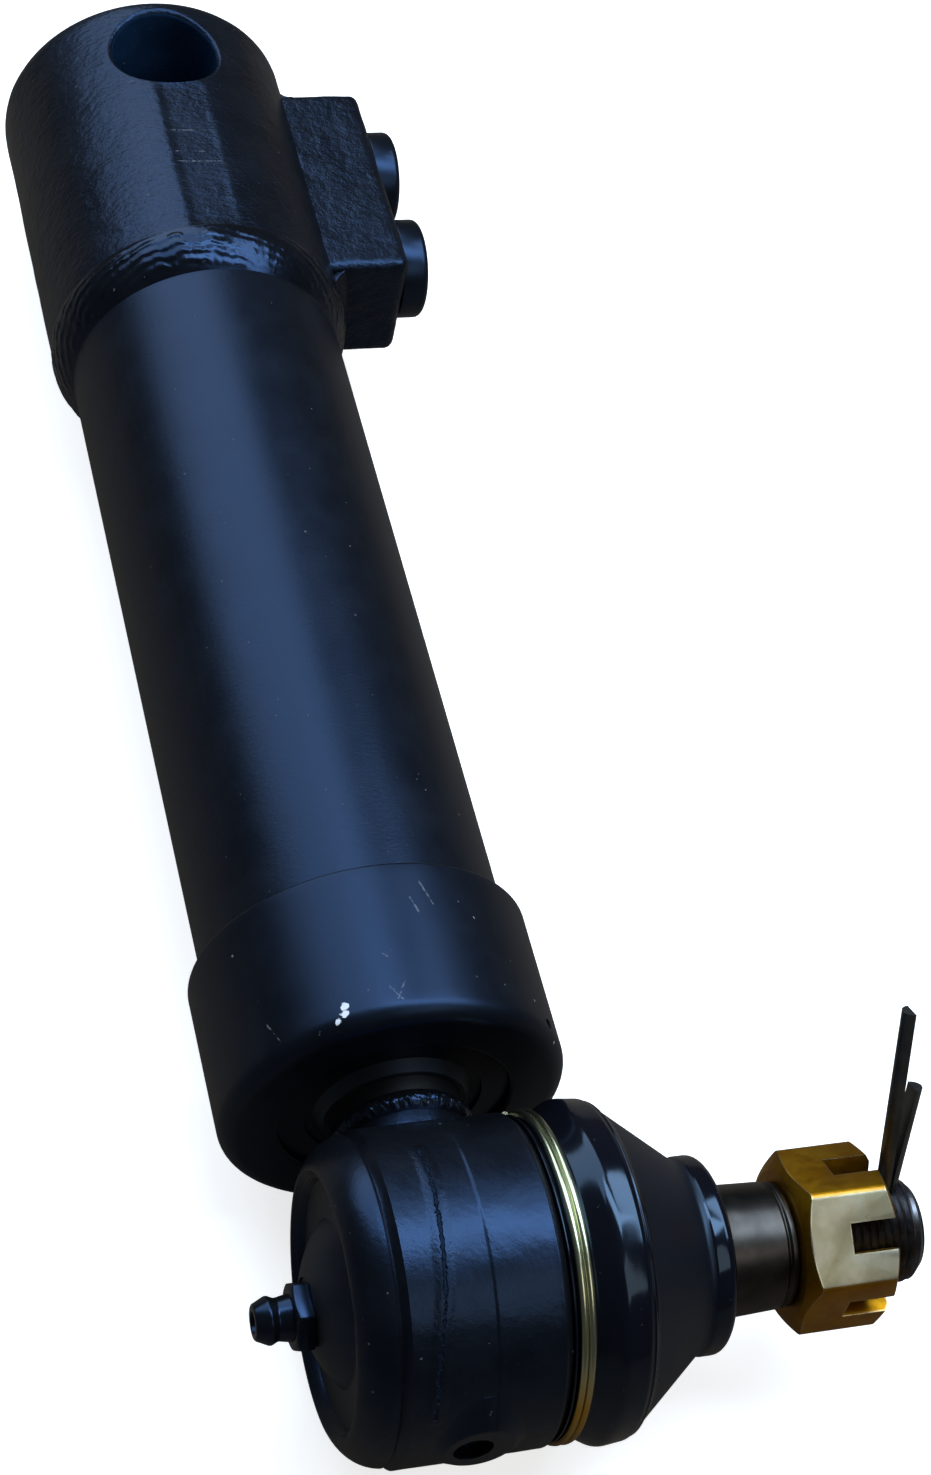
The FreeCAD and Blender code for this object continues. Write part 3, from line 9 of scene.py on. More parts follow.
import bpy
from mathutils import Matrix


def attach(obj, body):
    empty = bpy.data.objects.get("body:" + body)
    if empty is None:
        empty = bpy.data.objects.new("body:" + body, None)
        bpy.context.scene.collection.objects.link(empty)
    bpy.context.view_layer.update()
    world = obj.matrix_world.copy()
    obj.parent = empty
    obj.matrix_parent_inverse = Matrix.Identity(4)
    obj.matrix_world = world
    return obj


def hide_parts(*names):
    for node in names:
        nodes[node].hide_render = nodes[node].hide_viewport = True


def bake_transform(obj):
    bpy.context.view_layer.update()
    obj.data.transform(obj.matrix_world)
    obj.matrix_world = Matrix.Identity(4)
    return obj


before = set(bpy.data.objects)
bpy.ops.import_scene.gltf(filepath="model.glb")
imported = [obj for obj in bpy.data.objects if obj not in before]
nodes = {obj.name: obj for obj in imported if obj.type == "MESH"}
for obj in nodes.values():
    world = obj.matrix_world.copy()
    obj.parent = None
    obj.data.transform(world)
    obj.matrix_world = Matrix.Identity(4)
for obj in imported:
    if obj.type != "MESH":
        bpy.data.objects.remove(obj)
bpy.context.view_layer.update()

import math
import bmesh
import bpy
import numpy as np
from mathutils import Matrix, Vector, noise

# %% [markdown]
# The photograph was measured before anything was modelled: the straight sides of the barrel give the direction of
# its axis, and the round rims give the focal length. The camera is set from those numbers. Its three axes are
# written as the columns of a matrix, because a camera looks along its own -Z with +Y upwards.

# %% Camera
camera_data = bpy.data.cameras.new("Camera")
camera_data.sensor_width = 36.0
camera_data.lens = 73.2
camera = bpy.data.objects.new("Camera", camera_data)
bpy.context.scene.collection.objects.link(camera)
bpy.context.scene.camera = camera
camera_at = Vector((0.5380, -0.1355, 0.4764))
forward = Vector((-0.5775, 0.2742, -0.7689)).normalized()
right = Vector((0.2300, 0.9584, 0.1690)).normalized()
upward = right.cross(forward).normalized()
camera.matrix_world = Matrix((
    (right.x, upward.x, -forward.x, camera_at.x),
    (right.y, upward.y, -forward.y, camera_at.y),
    (right.z, upward.z, -forward.z, camera_at.z),
    (0, 0, 0, 1)))
print("camera at", tuple(round(c, 3) for c in camera_at), "lens", camera_data.lens)

# %% [markdown]
# Most of the forms were turned on a lathe, so the first tools make turned meshes. `softened` takes the corners of
# a half section and rounds them, since no painted edge is perfectly sharp. `divided` adds points along the long
# runs wherever the surface will be pushed about later. `turned` sweeps the section round an axis. Sizes are in
# millimetres, and `new_piece` turns them into metres when it makes the mesh.

# %% Tools for turned forms
def unit(vector):
    return vector / np.linalg.norm(vector)


def softened(corners, steps=5):
    """A closed outline. Each corner is (along, out), or (along, out, radius) to round it."""
    outline = []
    for i, corner in enumerate(corners):
        here = np.array(corner[:2], float)
        if len(corner) == 2:
            outline.append(tuple(here))
            continue
        before = np.array(corners[i - 1][:2], float) - here
        after = np.array(corners[(i + 1) % len(corners)][:2], float) - here
        half = math.acos(np.clip(unit(before) @ unit(after), -1, 1)) / 2
        cut = min(corner[2] / math.tan(half), 0.49 * np.linalg.norm(before), 0.49 * np.linalg.norm(after))
        radius = cut * math.tan(half)
        centre = here + unit(unit(before) + unit(after)) * radius / math.sin(half)
        start = here + unit(before) * cut - centre
        finish = here + unit(after) * cut - centre
        sweep = math.acos(np.clip(unit(start) @ unit(finish), -1, 1))
        for k in range(steps + 1):
            part = k / steps
            arm = (start * math.sin((1 - part) * sweep) + finish * math.sin(part * sweep)) / math.sin(sweep)
            outline.append(tuple(centre + arm))
    return outline


def divided(outline, step, low=-1e9, high=1e9):
    """The outline with extra points, no further apart than a step, on its runs between two places along it."""
    result = []
    for begin, finish in zip(outline, outline[1:] + outline[:1]):
        result.append(begin)
        inside = low <= min(begin[0], finish[0]) and max(begin[0], finish[0]) <= high
        count = math.ceil(math.dist(begin, finish) / step) if inside else 1
        for k in range(1, count):
            result.append(tuple(np.array(begin) + (np.array(finish) - np.array(begin)) * k / count))
    return result


# %% Tools for meshes
def tidied(piece, angle=35):
    """Merges doubles, points the faces outwards and shades smooth up to an angle."""
    grid = bmesh.new()
    grid.from_mesh(piece.data)
    bmesh.ops.remove_doubles(grid, verts=grid.verts, dist=2e-6)
    bmesh.ops.dissolve_degenerate(grid, edges=grid.edges, dist=1e-7)
    bmesh.ops.recalc_face_normals(grid, faces=grid.faces)
    for face in grid.faces:
        face.smooth = True
    grid.to_mesh(piece.data)
    grid.free()
    piece.data.set_sharp_from_angle(angle=math.radians(angle))
    return piece


def new_piece(name, points, faces, angle=35):
    """A mesh object from points in millimetres."""
    mesh = bpy.data.meshes.new(name)
    mesh.from_pydata((np.array(points, float) * 0.001).tolist(), [], faces)
    piece = bpy.data.objects.new(name, mesh)
    bpy.context.scene.collection.objects.link(piece)
    return tidied(piece, angle)


def turned(name, outline, axis="X", centre=(0, 0, 0), steps=192, angle=35, shaped=None, phase=0):
    """A closed outline swept once round the X, Y or Z axis through a centre. `shaped` may move the points."""
    section = np.array(outline)
    turn = np.linspace(0, 2 * math.pi, steps, endpoint=False)[:, None] + math.radians(phase)
    along = np.broadcast_to(section[None, :, 0], (steps, len(section)))
    cosine, sine = section[None, :, 1] * np.cos(turn), section[None, :, 1] * np.sin(turn)
    order = {"X": (along, cosine, sine), "Y": (sine, along, cosine), "Z": (cosine, sine, along)}[axis]
    points = np.stack(order, axis=2)
    if shaped:
        points = shaped(points)
    points = points.reshape(-1, 3) + np.array(centre, float)
    wide = len(section)
    faces = []
    for i in range(steps):
        for k in range(wide):
            a, b = i * wide + k, i * wide + (k + 1) % wide
            c, d = ((i + 1) % steps) * wide + (k + 1) % wide, ((i + 1) % steps) * wide + k
            faces.append((a, b, c, d))
    return new_piece(name, points, faces, angle)


def frozen(piece, *spent):
    """Makes the evaluated mesh the piece's own, and throws the helpers away."""
    graph = bpy.context.evaluated_depsgraph_get()
    mesh = bpy.data.meshes.new_from_object(piece.evaluated_get(graph), preserve_all_data_layers=True, depsgraph=graph)
    piece.modifiers.clear()
    worn_out = piece.data
    piece.data = mesh
    mesh.name = piece.name
    bpy.data.meshes.remove(worn_out)
    for helper in spent:
        bpy.data.objects.remove(helper)
    return piece


def combined(piece, tool, operation="DIFFERENCE", angle=35):
    """Cuts a tool out of a piece, or adds it."""
    cut = piece.modifiers.new("Cut", "BOOLEAN")
    cut.operation = operation
    cut.solver = "EXACT"
    cut.object = tool
    return tidied(frozen(piece, tool), angle)


def bevelled(piece, width, segments=2, limit=40, angle=35):
    """Rounds the sharp edges by a width in millimetres."""
    bevel = piece.modifiers.new("Bevel", "BEVEL")
    bevel.width = width * 0.001
    bevel.segments = segments
    bevel.limit_method = "ANGLE"
    bevel.angle_limit = math.radians(limit)
    bevel.use_clamp_overlap = True
    return tidied(frozen(piece), angle)


def stand_for(piece, body, *replaced):
    """The piece rides on a body and is shown in place of CAD nodes."""
    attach(piece, body)
    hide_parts(*replaced)
    print(f"{piece.name}: {len(piece.data.polygons)} faces for {', '.join(replaced)}")
    return piece


# %% [markdown]
# Patterns in materials and forms in Geometry Nodes are both sums of fields. `Field` wraps the output of a node, so
# that `1 - mask * 0.5` adds the Math nodes by itself. `Graph.node` makes every other node: its settings first,
# because they decide which sockets it has, and then the values or links of its sockets.

# %% Fields and graphs
class Field:
    """The output socket of a node, with arithmetic."""

    def __init__(self, graph, socket):
        self.graph, self.socket = graph, socket

    def math(self, operation, *others):
        return self.graph.node("ShaderNodeMath", {"operation": operation}, [self, *others])

    def __add__(self, other): return self.math("ADD", other)
    def __radd__(self, other): return self.math("ADD", other)
    def __sub__(self, other): return self.math("SUBTRACT", other)
    def __rsub__(self, other): return self.graph.node("ShaderNodeMath", {"operation": "SUBTRACT"}, [other, self])
    def __mul__(self, other): return self.math("MULTIPLY", other)
    def __rmul__(self, other): return self.math("MULTIPLY", other)
    def __truediv__(self, other): return self.math("DIVIDE", other)
    def __pow__(self, other): return self.math("POWER", other)
    def abs(self): return self.math("ABSOLUTE")
    def sin(self): return self.math("SINE")
    def cos(self): return self.math("COSINE")
    def fraction(self): return self.math("FRACT")
    def least(self, other): return self.math("MINIMUM", other)
    def most(self, other): return self.math("MAXIMUM", other)

    def rise(self, low, high):
        """0 below low and 1 above high, smooth between them. With low above high it falls instead."""
        return self.graph.node("ShaderNodeMapRange", {"interpolation_type": "SMOOTHSTEP"},
                               {"Value": self, "From Min": low, "From Max": high})


class Graph:
    """A node tree that is filled from Python."""

    def __init__(self, tree):
        self.tree = tree

    def node(self, kind, settings=None, inputs=None, out=0):
        made = self.tree.nodes.new(kind)
        for name, value in (settings or {}).items():
            setattr(made, name, value)
        pairs = inputs.items() if isinstance(inputs, dict) else enumerate(inputs or [])
        for key, value in pairs:
            if isinstance(value, Field):
                self.tree.links.new(value.socket, made.inputs[key])
            elif value is not None:
                made.inputs[key].default_value = value
        return Field(self, made.outputs[out])

    def vector(self, operation, *inputs, out=0):
        return self.node("ShaderNodeVectorMath", {"operation": operation}, list(inputs), out)

    def split(self, vector):
        """The three parts of a vector."""
        made = self.node("ShaderNodeSeparateXYZ", {}, [vector])
        return [Field(self, socket) for socket in made.socket.node.outputs]

    def join(self, x, y, z):
        return self.node("ShaderNodeCombineXYZ", {}, [x, y, z])

    def noise(self, vector, scale, detail=2.0, rough=0.5, seed=0.0):
        """Smooth noise from 0 to 1, in cells of about 1 / scale."""
        return self.node("ShaderNodeTexNoise", {"noise_dimensions": "4D"},
                         {"Vector": vector, "W": seed, "Scale": scale, "Detail": detail, "Roughness": rough})


# %% [markdown]
# The weld between the base end and the tube is a main form of this object: a glossy bead whose ripples lean over
# one another. A rule describes it well, so Geometry Nodes make it. A flat grid is bent round the seam, its long
# side going round and its short side going across the bead and back underneath. Each ripple is a sawtooth of the
# place across the bead, and it sways with the angle, so the ripples lie along the seam where the welder set the
# torch straight and lean over towards both sides. Noise makes them uneven. The same tree makes the rough bead on the
# rod, where the ripples simply go round.

# %% Geometry Nodes for a weld bead
def new_tree(name, sizes):
    """An empty tree with named sizes, each a number, and a material."""
    tree = bpy.data.node_groups.new(name, "GeometryNodeTree")
    tree.interface.new_socket("Geometry", in_out="OUTPUT", socket_type="NodeSocketGeometry")
    for label, value in sizes.items():
        socket = tree.interface.new_socket(label, in_out="INPUT", socket_type="NodeSocketFloat")
        socket.default_value = value
    tree.interface.new_socket("Material", in_out="INPUT", socket_type="NodeSocketMaterial")
    group = tree.nodes.new("NodeGroupInput")
    graph = Graph(tree)
    return graph, {socket.name: Field(graph, socket) for socket in group.outputs if socket.name}


def close_tree(graph, geometry, entries):
    """Ends a tree in Realize Instances, smooth shading and Set Material."""
    real = graph.node("GeometryNodeRealizeInstances", {}, [geometry])
    smooth = graph.node("GeometryNodeSetShadeSmooth", {}, {"Geometry": real})
    named = graph.node("GeometryNodeSetMaterial", {}, {"Geometry": smooth, "Material": entries["Material"]})
    out = graph.tree.nodes.new("NodeGroupOutput")
    graph.tree.links.new(named.socket, out.inputs[0])


def grown(name, tree, values, finish):
    """A plain mesh from a tree, with its sizes set through their identifiers."""
    mesh = bpy.data.meshes.new(name)
    piece = bpy.data.objects.new(name, mesh)
    bpy.context.scene.collection.objects.link(piece)
    modifier = piece.modifiers.new("Nodes", "NODES")
    modifier.node_group = tree
    for item in tree.interface.items_tree:
        if item.item_type == "SOCKET" and item.in_out == "INPUT":
            if item.name == "Material":
                modifier[item.identifier] = finish
            elif item.name in values:
                modifier[item.identifier] = float(values[item.name])
    return frozen(piece)


bead_graph, bead = new_tree("WeldBead", {
    "Start": 0.060, "End": 0.0706, "Start Radius": 0.0333, "End Radius": 0.0300, "Crown": 0.0011,
    "Ripples": 0.0, "Ripple Height": 0.00022, "Lean": 8.5, "Sway": 0.0, "Slump": 1.0, "Uneven": 0.6, "Seed": 0.0})
ROUND, ACROSS = 900, 66
FACING = math.radians(107)
grid = bead_graph.node("GeometryNodeMeshGrid", {}, {
    "Size X": 1.0, "Size Y": 1.0, "Vertices X": ROUND, "Vertices Y": ACROSS})
flat_x, flat_y, flat_z = bead_graph.split(bead_graph.node("GeometryNodeInputPosition"))
turn = (flat_x + 0.5) * (2 * math.pi)
loop = flat_y + 0.5
upper = (loop / 0.8).least(1.0)
back = ((loop - 0.8) / 0.2).most(0.0)
across = upper - back
around = bead_graph.join(turn.cos() * 3.0, turn.sin() * 3.0, across * 0.4)
drift = bead_graph.noise(around, 2.2, 2.0, 0.5, bead["Seed"]) - 0.5
swell = bead_graph.noise(around, 4.0, 2.0, 0.5, bead["Seed"] + 7.0) - 0.5
phase = (turn * bead["Ripples"] / (2 * math.pi) + across * bead["Lean"] + (turn - FACING).cos() * bead["Sway"]
         + drift * bead["Uneven"] * 5.0 + 20.0)
saw = phase.fraction()
patchy = (swell + drift * 0.5).rise(-0.16, 0.12) * 0.75 + 0.25
ripple = saw.rise(0.0, 0.62) * saw.rise(1.0, 0.62) * patchy
hump = (across * math.pi).sin()
lift = hump * bead["Crown"] + hump.rise(0.0, 0.5) * (ripple * bead["Ripple Height"]
                                                      + swell * bead["Ripple Height"] * bead["Uneven"] * 2.0)
reach = bead["Start Radius"] + (bead["End Radius"] - bead["Start Radius"]) * across ** bead["Slump"]
top_side = loop.rise(0.8, 0.7999)
radius = reach + lift * top_side - 0.0009 * (back * math.pi).sin()
length = bead["Start"] + (bead["End"] - bead["Start"]) * across + drift * hump * bead["Uneven"] * 0.0006
bent = bead_graph.node("GeometryNodeSetPosition", {}, {
    "Geometry": grid, "Position": bead_graph.join(length, radius * turn.cos(), radius * turn.sin())})
merged = bead_graph.node("GeometryNodeMergeByDistance", {}, {"Geometry": bent, "Distance": 2e-6})
close_tree(bead_graph, merged, bead)
print("weld tree:", len(bead_graph.tree.nodes), "nodes")

# %% [markdown]
# A thread and the wire ring round the boot both follow a helix. A spiral curve carries a small closed section
# round it: four corners make the ridge of a thread, fourteen make a round wire. The spiral's normals are kept
# upright, so the ridge doesn't roll over as it climbs.

# %% Geometry Nodes for anything wound
wound_graph, wound = new_tree("WoundSection", {
    "Turns": 2.0, "Radius": 0.0295, "Height": 0.003, "Section": 0.00075, "Corners": 14.0, "Steps": 96.0,
    "Squeeze": 1.0, "Centre X": 0.3033, "Start Y": 0.0172, "Turn": 0.0})
spiral = wound_graph.node("GeometryNodeCurveSpiral", {}, {
    "Resolution": wound["Steps"], "Rotations": wound["Turns"], "Start Radius": wound["Radius"],
    "End Radius": wound["Radius"], "Height": wound["Height"]})
upright = wound_graph.node("GeometryNodeSetCurveNormal", {"mode": "Z_UP"}, {"Curve": spiral})
ring = wound_graph.node("GeometryNodeCurvePrimitiveCircle", {"mode": "RADIUS"}, {
    "Resolution": wound["Corners"], "Radius": wound["Section"]})
pressed = wound_graph.node("GeometryNodeTransform", {}, {
    "Geometry": ring, "Scale": wound_graph.join(1.0, wound["Squeeze"], 1.0)})
swept = wound_graph.node("GeometryNodeCurveToMesh", {}, {
    "Curve": upright, "Profile Curve": pressed, "Fill Caps": True})
laid = wound_graph.node("GeometryNodeTransform", {}, {
    "Geometry": swept, "Rotation": wound_graph.join(-math.pi / 2, wound["Turn"], 0.0),
    "Translation": wound_graph.join(wound["Centre X"], wound["Start Y"], 0.0)})
close_tree(wound_graph, laid, wound)
print("wound tree:", len(wound_graph.tree.nodes), "nodes")

# %% [markdown]
# ## Finishes
#
# Nearly everything wears one coat of black paint, but the skin under it differs: forged on the base end and the
# ball housing, drawn on the tube, cast on the port block, turned on the gland nut. One function makes them all
# from the size and depth of the grain, how even the gloss is, and where the paint is chipped or scratched.
# Patterns read Object coordinates, turned into millimetres, so the numbers are real sizes.

# %% Tools for materials
def new_finish(name):
    """A material, its graph, its shader and the place on the piece in millimetres."""
    finish = bpy.data.materials.new(name)
    finish.use_nodes = True
    graph = Graph(finish.node_tree)
    shader = finish.node_tree.nodes["Principled BSDF"]
    spot = graph.node("ShaderNodeTexCoord", {}, {}, "Object")
    return finish, graph, shader, graph.vector("SCALE", spot, None, None, 1000.0)


def mixed(graph, amount, first, second):
    """A colour between two, given as (r, g, b) or as fields."""
    first, second = [c if isinstance(c, Field) else (*c, 1.0) for c in (first, second)]
    return graph.node("ShaderNodeMix", {"data_type": "RGBA"}, {0: amount, 6: first, 7: second}, 2)


def feed(graph, shader, **links):
    """Links fields to the shader, and writes plain values on its sockets."""
    for name, value in links.items():
        socket = shader.inputs[name.replace("_", " ")]
        if isinstance(value, Field):
            graph.tree.links.new(value.socket, socket)
        else:
            socket.default_value = (*value, 1.0) if isinstance(value, tuple) else value


def bumped(graph, height, depth, below=None):
    """A normal from a height field, with its depth in millimetres."""
    return graph.node("ShaderNodeBump", {}, {"Strength": 1.0, "Distance": depth * 0.001, "Height": height,
                                             "Normal": below})


def from_line(graph, spot, begin, finish):
    """Distance in millimetres from a straight scratch."""
    along = Vector(finish) - Vector(begin)
    offset = graph.vector("SUBTRACT", spot, tuple(begin))
    part = graph.vector("DOT_PRODUCT", offset, tuple(along / along.length_squared), out="Value").most(0.0).least(1.0)
    nearest = graph.vector("SCALE", tuple(along), None, None, part)
    return graph.vector("LENGTH", graph.vector("SUBTRACT", offset, nearest), out="Value")


def from_point(graph, spot, at):
    return graph.vector("DISTANCE", spot, tuple(at), out="Value")


# %% Black paint over different skins
def black_paint(name, grain, depth, rough, coarse=0.0, coarse_size=6.0, stretch=(1.0, 1.0, 1.0), chips=(), scratches=(),
                crack=(), tone=(0.0032, 0.0034, 0.0040)):
    """Black paint. `grain` is the size of the peel and `depth` its height, both in millimetres."""
    finish, graph, shader, spot = new_finish(name)
    pulled = graph.vector("MULTIPLY", spot, stretch)
    peel = graph.noise(pulled, 1.0 / grain, 3.0, 0.55, 1.0)
    fine = graph.noise(pulled, 3.2 / grain, 2.0, 0.5, 2.0)
    dull = graph.noise(spot, 0.11, 3.0, 0.6, 3.0)
    height = peel * 0.8 + fine * 0.25
    if coarse:
        height = height + graph.noise(spot, 1.0 / coarse_size, 4.0, 0.6, 4.0) * coarse
    dust = graph.noise(spot, 1.1, 1.0, 0.3, 5.0).rise(0.79, 0.82)
    colour = mixed(graph, dust * 0.5, mixed(graph, dull.rise(0.3, 0.75), tone, tuple(c * 1.7 for c in tone)),
                   (0.16, 0.16, 0.155))
    gloss = rough + (dull - 0.5) * 0.16 + dust * 0.25
    for at, size, shade in chips:
        ragged = graph.noise(spot, 1.4, 3.0, 0.7, at[0])
        bare = (from_point(graph, spot, at) + (ragged - 0.5) * size * 2.4).rise(size, size * 0.82)
        colour = mixed(graph, bare, colour, shade)
        gloss = gloss + bare * 0.3
        height = height - bare * 0.8
    for begin, end, width, shade in scratches:
        wander = (graph.noise(spot, 0.7, 2.0, 0.6, begin[0]) - 0.5) * 0.8
        broken = graph.noise(spot, 1.3, 2.0, 0.6, end[0]).rise(0.38, 0.58)
        mark = (from_line(graph, spot, begin, end) + wander).abs().rise(width, width * 0.4) * broken
        colour = mixed(graph, mark * 0.7, colour, shade)
        height = height - mark * 0.5
    if crack:
        near = from_line(graph, spot, crack[0], crack[1])
        for begin, end in zip(crack[1:], crack[2:]):
            near = near.least(from_line(graph, spot, begin, end))
        ragged = (graph.noise(spot, 0.9, 3.0, 0.7, 6.0) - 0.5) * 1.6
        open_gap_and_shade = (near + ragged).abs().rise(0.42, 0.12)
        lap = (near + ragged * 0.6).rise(2.2, 0.5)
        height = height - open_gap_and_shade * 9.0 + lap * 2.0 + graph.split(spot)[1].rise(1.6, 2.4) * 1.6
        # The open part of the crack is painted near black: painted shade inside the crack.
        colour = mixed(graph, open_gap_and_shade, colour, (0.001, 0.001, 0.001))
        gloss = gloss + open_gap_and_shade * 0.4
    feed(graph, shader, Base_Color=colour, Roughness=gloss, Normal=bumped(graph, height, depth),
         Specular_Tint=(0.24, 0.47, 1.0))
    return finish


CHIP = (0.75, 0.76, 0.78)
SCUFF = (0.16, 0.165, 0.175)
BALL = (303.3, 0.0, 0.0)
STRIP_MARKS = [((28.2, -3.9, 32.6), (28.5, 4.4, 32.6), 0.22, SCUFF), ((38.5, -4.0, 32.6), (38.9, 5.9, 32.6), 0.22, SCUFF), ((35.2, -3.8, 32.6), (35.5, 2.7, 32.6), 0.13, SCUFF)]
CRACK = [(BALL[0] + x, y, z) for x, y, z in (
    (-13.9, -5.2, 26.8), (-7.4, -5.0, 29.3), (-2.0, -5.3, 30.1), (2.8, -5.7, 30.1), (8.9, -6.2, 28.9), (15.0, -6.8, 26.2),
    (20.4, -8.0, 22.3), (25.0, -8.7, 16.9), (28.7, -9.0, 9.3))]
CRINKLED = (1.5, 0.75, 0.75)
forged_paint = black_paint("forged_paint", 1.5, 0.30, 0.33, coarse=1.3, coarse_size=7.0, stretch=CRINKLED,
                           scratches=STRIP_MARKS)
housing_paint = black_paint("housing_paint", 1.3, 0.07, 0.30, coarse=1.2, coarse_size=8.0, crack=CRACK)
tube_paint = black_paint("tube_paint", 0.9, 0.045, 0.36, stretch=CRINKLED)
cast_paint = black_paint("cast_paint", 1.6, 0.32, 0.33, coarse=1.4, coarse_size=4.0)
bead_paint = black_paint("bead_paint", 1.2, 0.012, 0.24)
cap_paint = black_paint("cap_paint", 0.9, 0.010, 0.30)
# The bore's paint is a lighter, bluish copy of the black paint: a painted sheen that stands in for cool light falling
# on the bore's walls.
bore_painted_sheen_paint = black_paint("bore_painted_sheen_paint", 1.2, 0.02, 0.26, tone=(0.006, 0.018, 0.042))
dome_paint = black_paint("dome_paint", 0.8, 0.010, 0.40, tone=(0.009, 0.0085, 0.008))
collar_paint = black_paint(
    "collar_paint", 0.6, 0.016, 0.37,
    chips=[((261.0, -12.9, 30.7), 0.8, CHIP), ((262.4, -13.2, 30.6), 0.8, CHIP), ((263.4, -14.6, 29.7), 0.6, CHIP),
           ((239.6, -28.0, 18.0), 0.28, SCUFF),
           ((264.6, 28.6, 16.0), 0.35, SCUFF), ((244.0, 15.5, 29.5), 0.22, SCUFF), ((258.6, 25.0, 22.0), 0.25, SCUFF)],
    scratches=[((237.0, 6.0, 32.7), (242.0, 7.6, 32.4), 0.22, SCUFF), 
               ((240.5, 3.4, 33.1), (244.0, 4.4, 33.0), 0.16, SCUFF),
               ((258.2, -5.0, 32.9), (262.2, -2.8, 33.2), 0.22, SCUFF),
               ((258.6, -1.6, 33.2), (262.0, -3.6, 33.1), 0.2, SCUFF),
               ((252.0, -4.4, 33.0), (252.8, -3.6, 33.1), 0.16, SCUFF),
               ((262.0, -24.0, 23.0), (257.0, -25.5, 21.4), 0.15, SCUFF)])
print("paints made:", [m.name for m in bpy.data.materials if m.name.endswith("_paint")])

# %% [markdown]
# The other finishes are few: glossy and satin rubber on the boot, zinc in two colours, and steel in several
# states. Yellow zinc on the castle nut is amber where it is thick, and the facet that faces up towards the camera
# is painted a paler silvery olive as a painted sheen, so one soft mask along that facet's direction carries the change.

# %% Metals
def metal(name, low, high, rough, size=3.0, depth=0.006, grain=None):
    """Bare or plated metal: two tones in soft patches, with fine turning marks along an axis if `grain` names it."""
    finish, graph, shader, spot = new_finish(name)
    patch = graph.noise(spot, 1.0 / size, 3.0, 0.6, 1.0)
    fine = graph.noise(spot, 6.0, 2.0, 0.5, 2.0)
    height = fine
    if grain is not None:
        lines = graph.split(spot)[grain]
        height = fine * 0.3 + graph.noise(graph.join(lines, 0.0, 0.0), 7.0, 2.0, 0.6, 3.0)
    feed(graph, shader, Base_Color=mixed(graph, patch.rise(0.3, 0.7), low, high), Metallic=1.0,
         Roughness=(patch - 0.5) * 0.2 + fine * 0.08 + (rough - 0.04), Normal=bumped(graph, height, depth))
    return finish


shank_steel = metal("shank_steel", (0.035, 0.032, 0.030), (0.075, 0.070, 0.064), 0.32, 9.0, 0.010, grain=1)
thread_steel = metal("thread_steel", (0.085, 0.09, 0.10), (0.15, 0.155, 0.17), 0.30)
pin_steel = metal("pin_steel", (0.12, 0.125, 0.125), (0.17, 0.178, 0.18), 0.36, 6.0, 0.008)
turned_steel = metal("turned_steel", (0.22, 0.22, 0.22), (0.36, 0.36, 0.36), 0.34, 8.0, 0.01, grain=0)
honed_steel = metal("honed_steel", (0.34, 0.34, 0.34), (0.46, 0.46, 0.46), 0.2, 6.0, 0.004, grain=0)
bush_bronze = metal("bush_bronze", (0.30, 0.17, 0.07), (0.46, 0.29, 0.13), 0.35, 5.0, 0.008, grain=0)


def wire_finish():
    """Zinc wire: pale greenish white towards the top and amber towards the bottom."""
    finish, graph, shader, spot = new_finish("wire_zinc")
    patch = graph.noise(spot, 0.06, 2.0, 0.5, 1.0)
    low = (graph.split(spot)[2] + (patch - 0.5) * 30.0).rise(18.0, 4.0)
    colour = mixed(graph, low, (0.55, 0.57, 0.38), (0.58, 0.36, 0.06))
    feed(graph, shader, Base_Color=colour, Metallic=1.0, Roughness=(patch - 0.5) * 0.1 + 0.24,
         Normal=bumped(graph, graph.noise(spot, 4.0, 2.0, 0.5, 2.0), 0.004))
    return finish


wire_zinc = wire_finish()


def plated_nut():
    """Yellow zinc on the castle nut: amber, with a painted sheen that makes the facet facing up towards the camera
    paler, and bright along the worn edges.
    """
    finish, graph, shader, spot = new_finish("yellow_zinc")
    patch = graph.noise(spot, 0.16, 3.0, 0.55, 1.0)
    grime = graph.noise(spot, 0.55, 4.0, 0.7, 2.0)
    face = graph.node("ShaderNodeNewGeometry", {}, {}, "True Normal")
    # The facet facing up towards the camera is painted a paler silvery olive: a painted sheen, picked out by the
    # direction of its face.
    facet_sheen = graph.vector("DOT_PRODUCT", face, (0.5, 0.0, 0.866), out="Value").rise(0.90, 0.985)
    amber = mixed(graph, patch.rise(0.3, 0.7), (0.38, 0.16, 0.004), (0.50, 0.25, 0.012))
    olive = mixed(graph, patch.rise(0.35, 0.7), (0.33, 0.31, 0.20), (0.44, 0.42, 0.32))
    colour = mixed(graph, facet_sheen, amber, olive)
    wear = graph.node("ShaderNodeBevel", {"samples": 4}, {"Radius": 0.0006})
    worn = graph.vector("DOT_PRODUCT", wear, graph.node("ShaderNodeNewGeometry", {}, {}, "Normal"), out="Value")
    edge = worn.rise(0.992, 0.90)
    # The edges are brightened as worn plating, and more strongly on the facet with the painted sheen.
    colour = mixed(graph, edge * (facet_sheen * 0.5 + 0.35), colour, (0.80, 0.76, 0.55))
    colour = mixed(graph, grime.rise(0.62, 0.75) * 0.6, colour, (0.10, 0.08, 0.03))
    feed(graph, shader, Base_Color=colour, Metallic=1.0,
         Roughness=0.30 + grime * 0.22 - edge * 0.12, Normal=bumped(graph, graph.noise(spot, 2.2, 3.0, 0.6, 3.0), 0.02))
    return finish


yellow_zinc = plated_nut()
print("metals made:", len(bpy.data.materials))


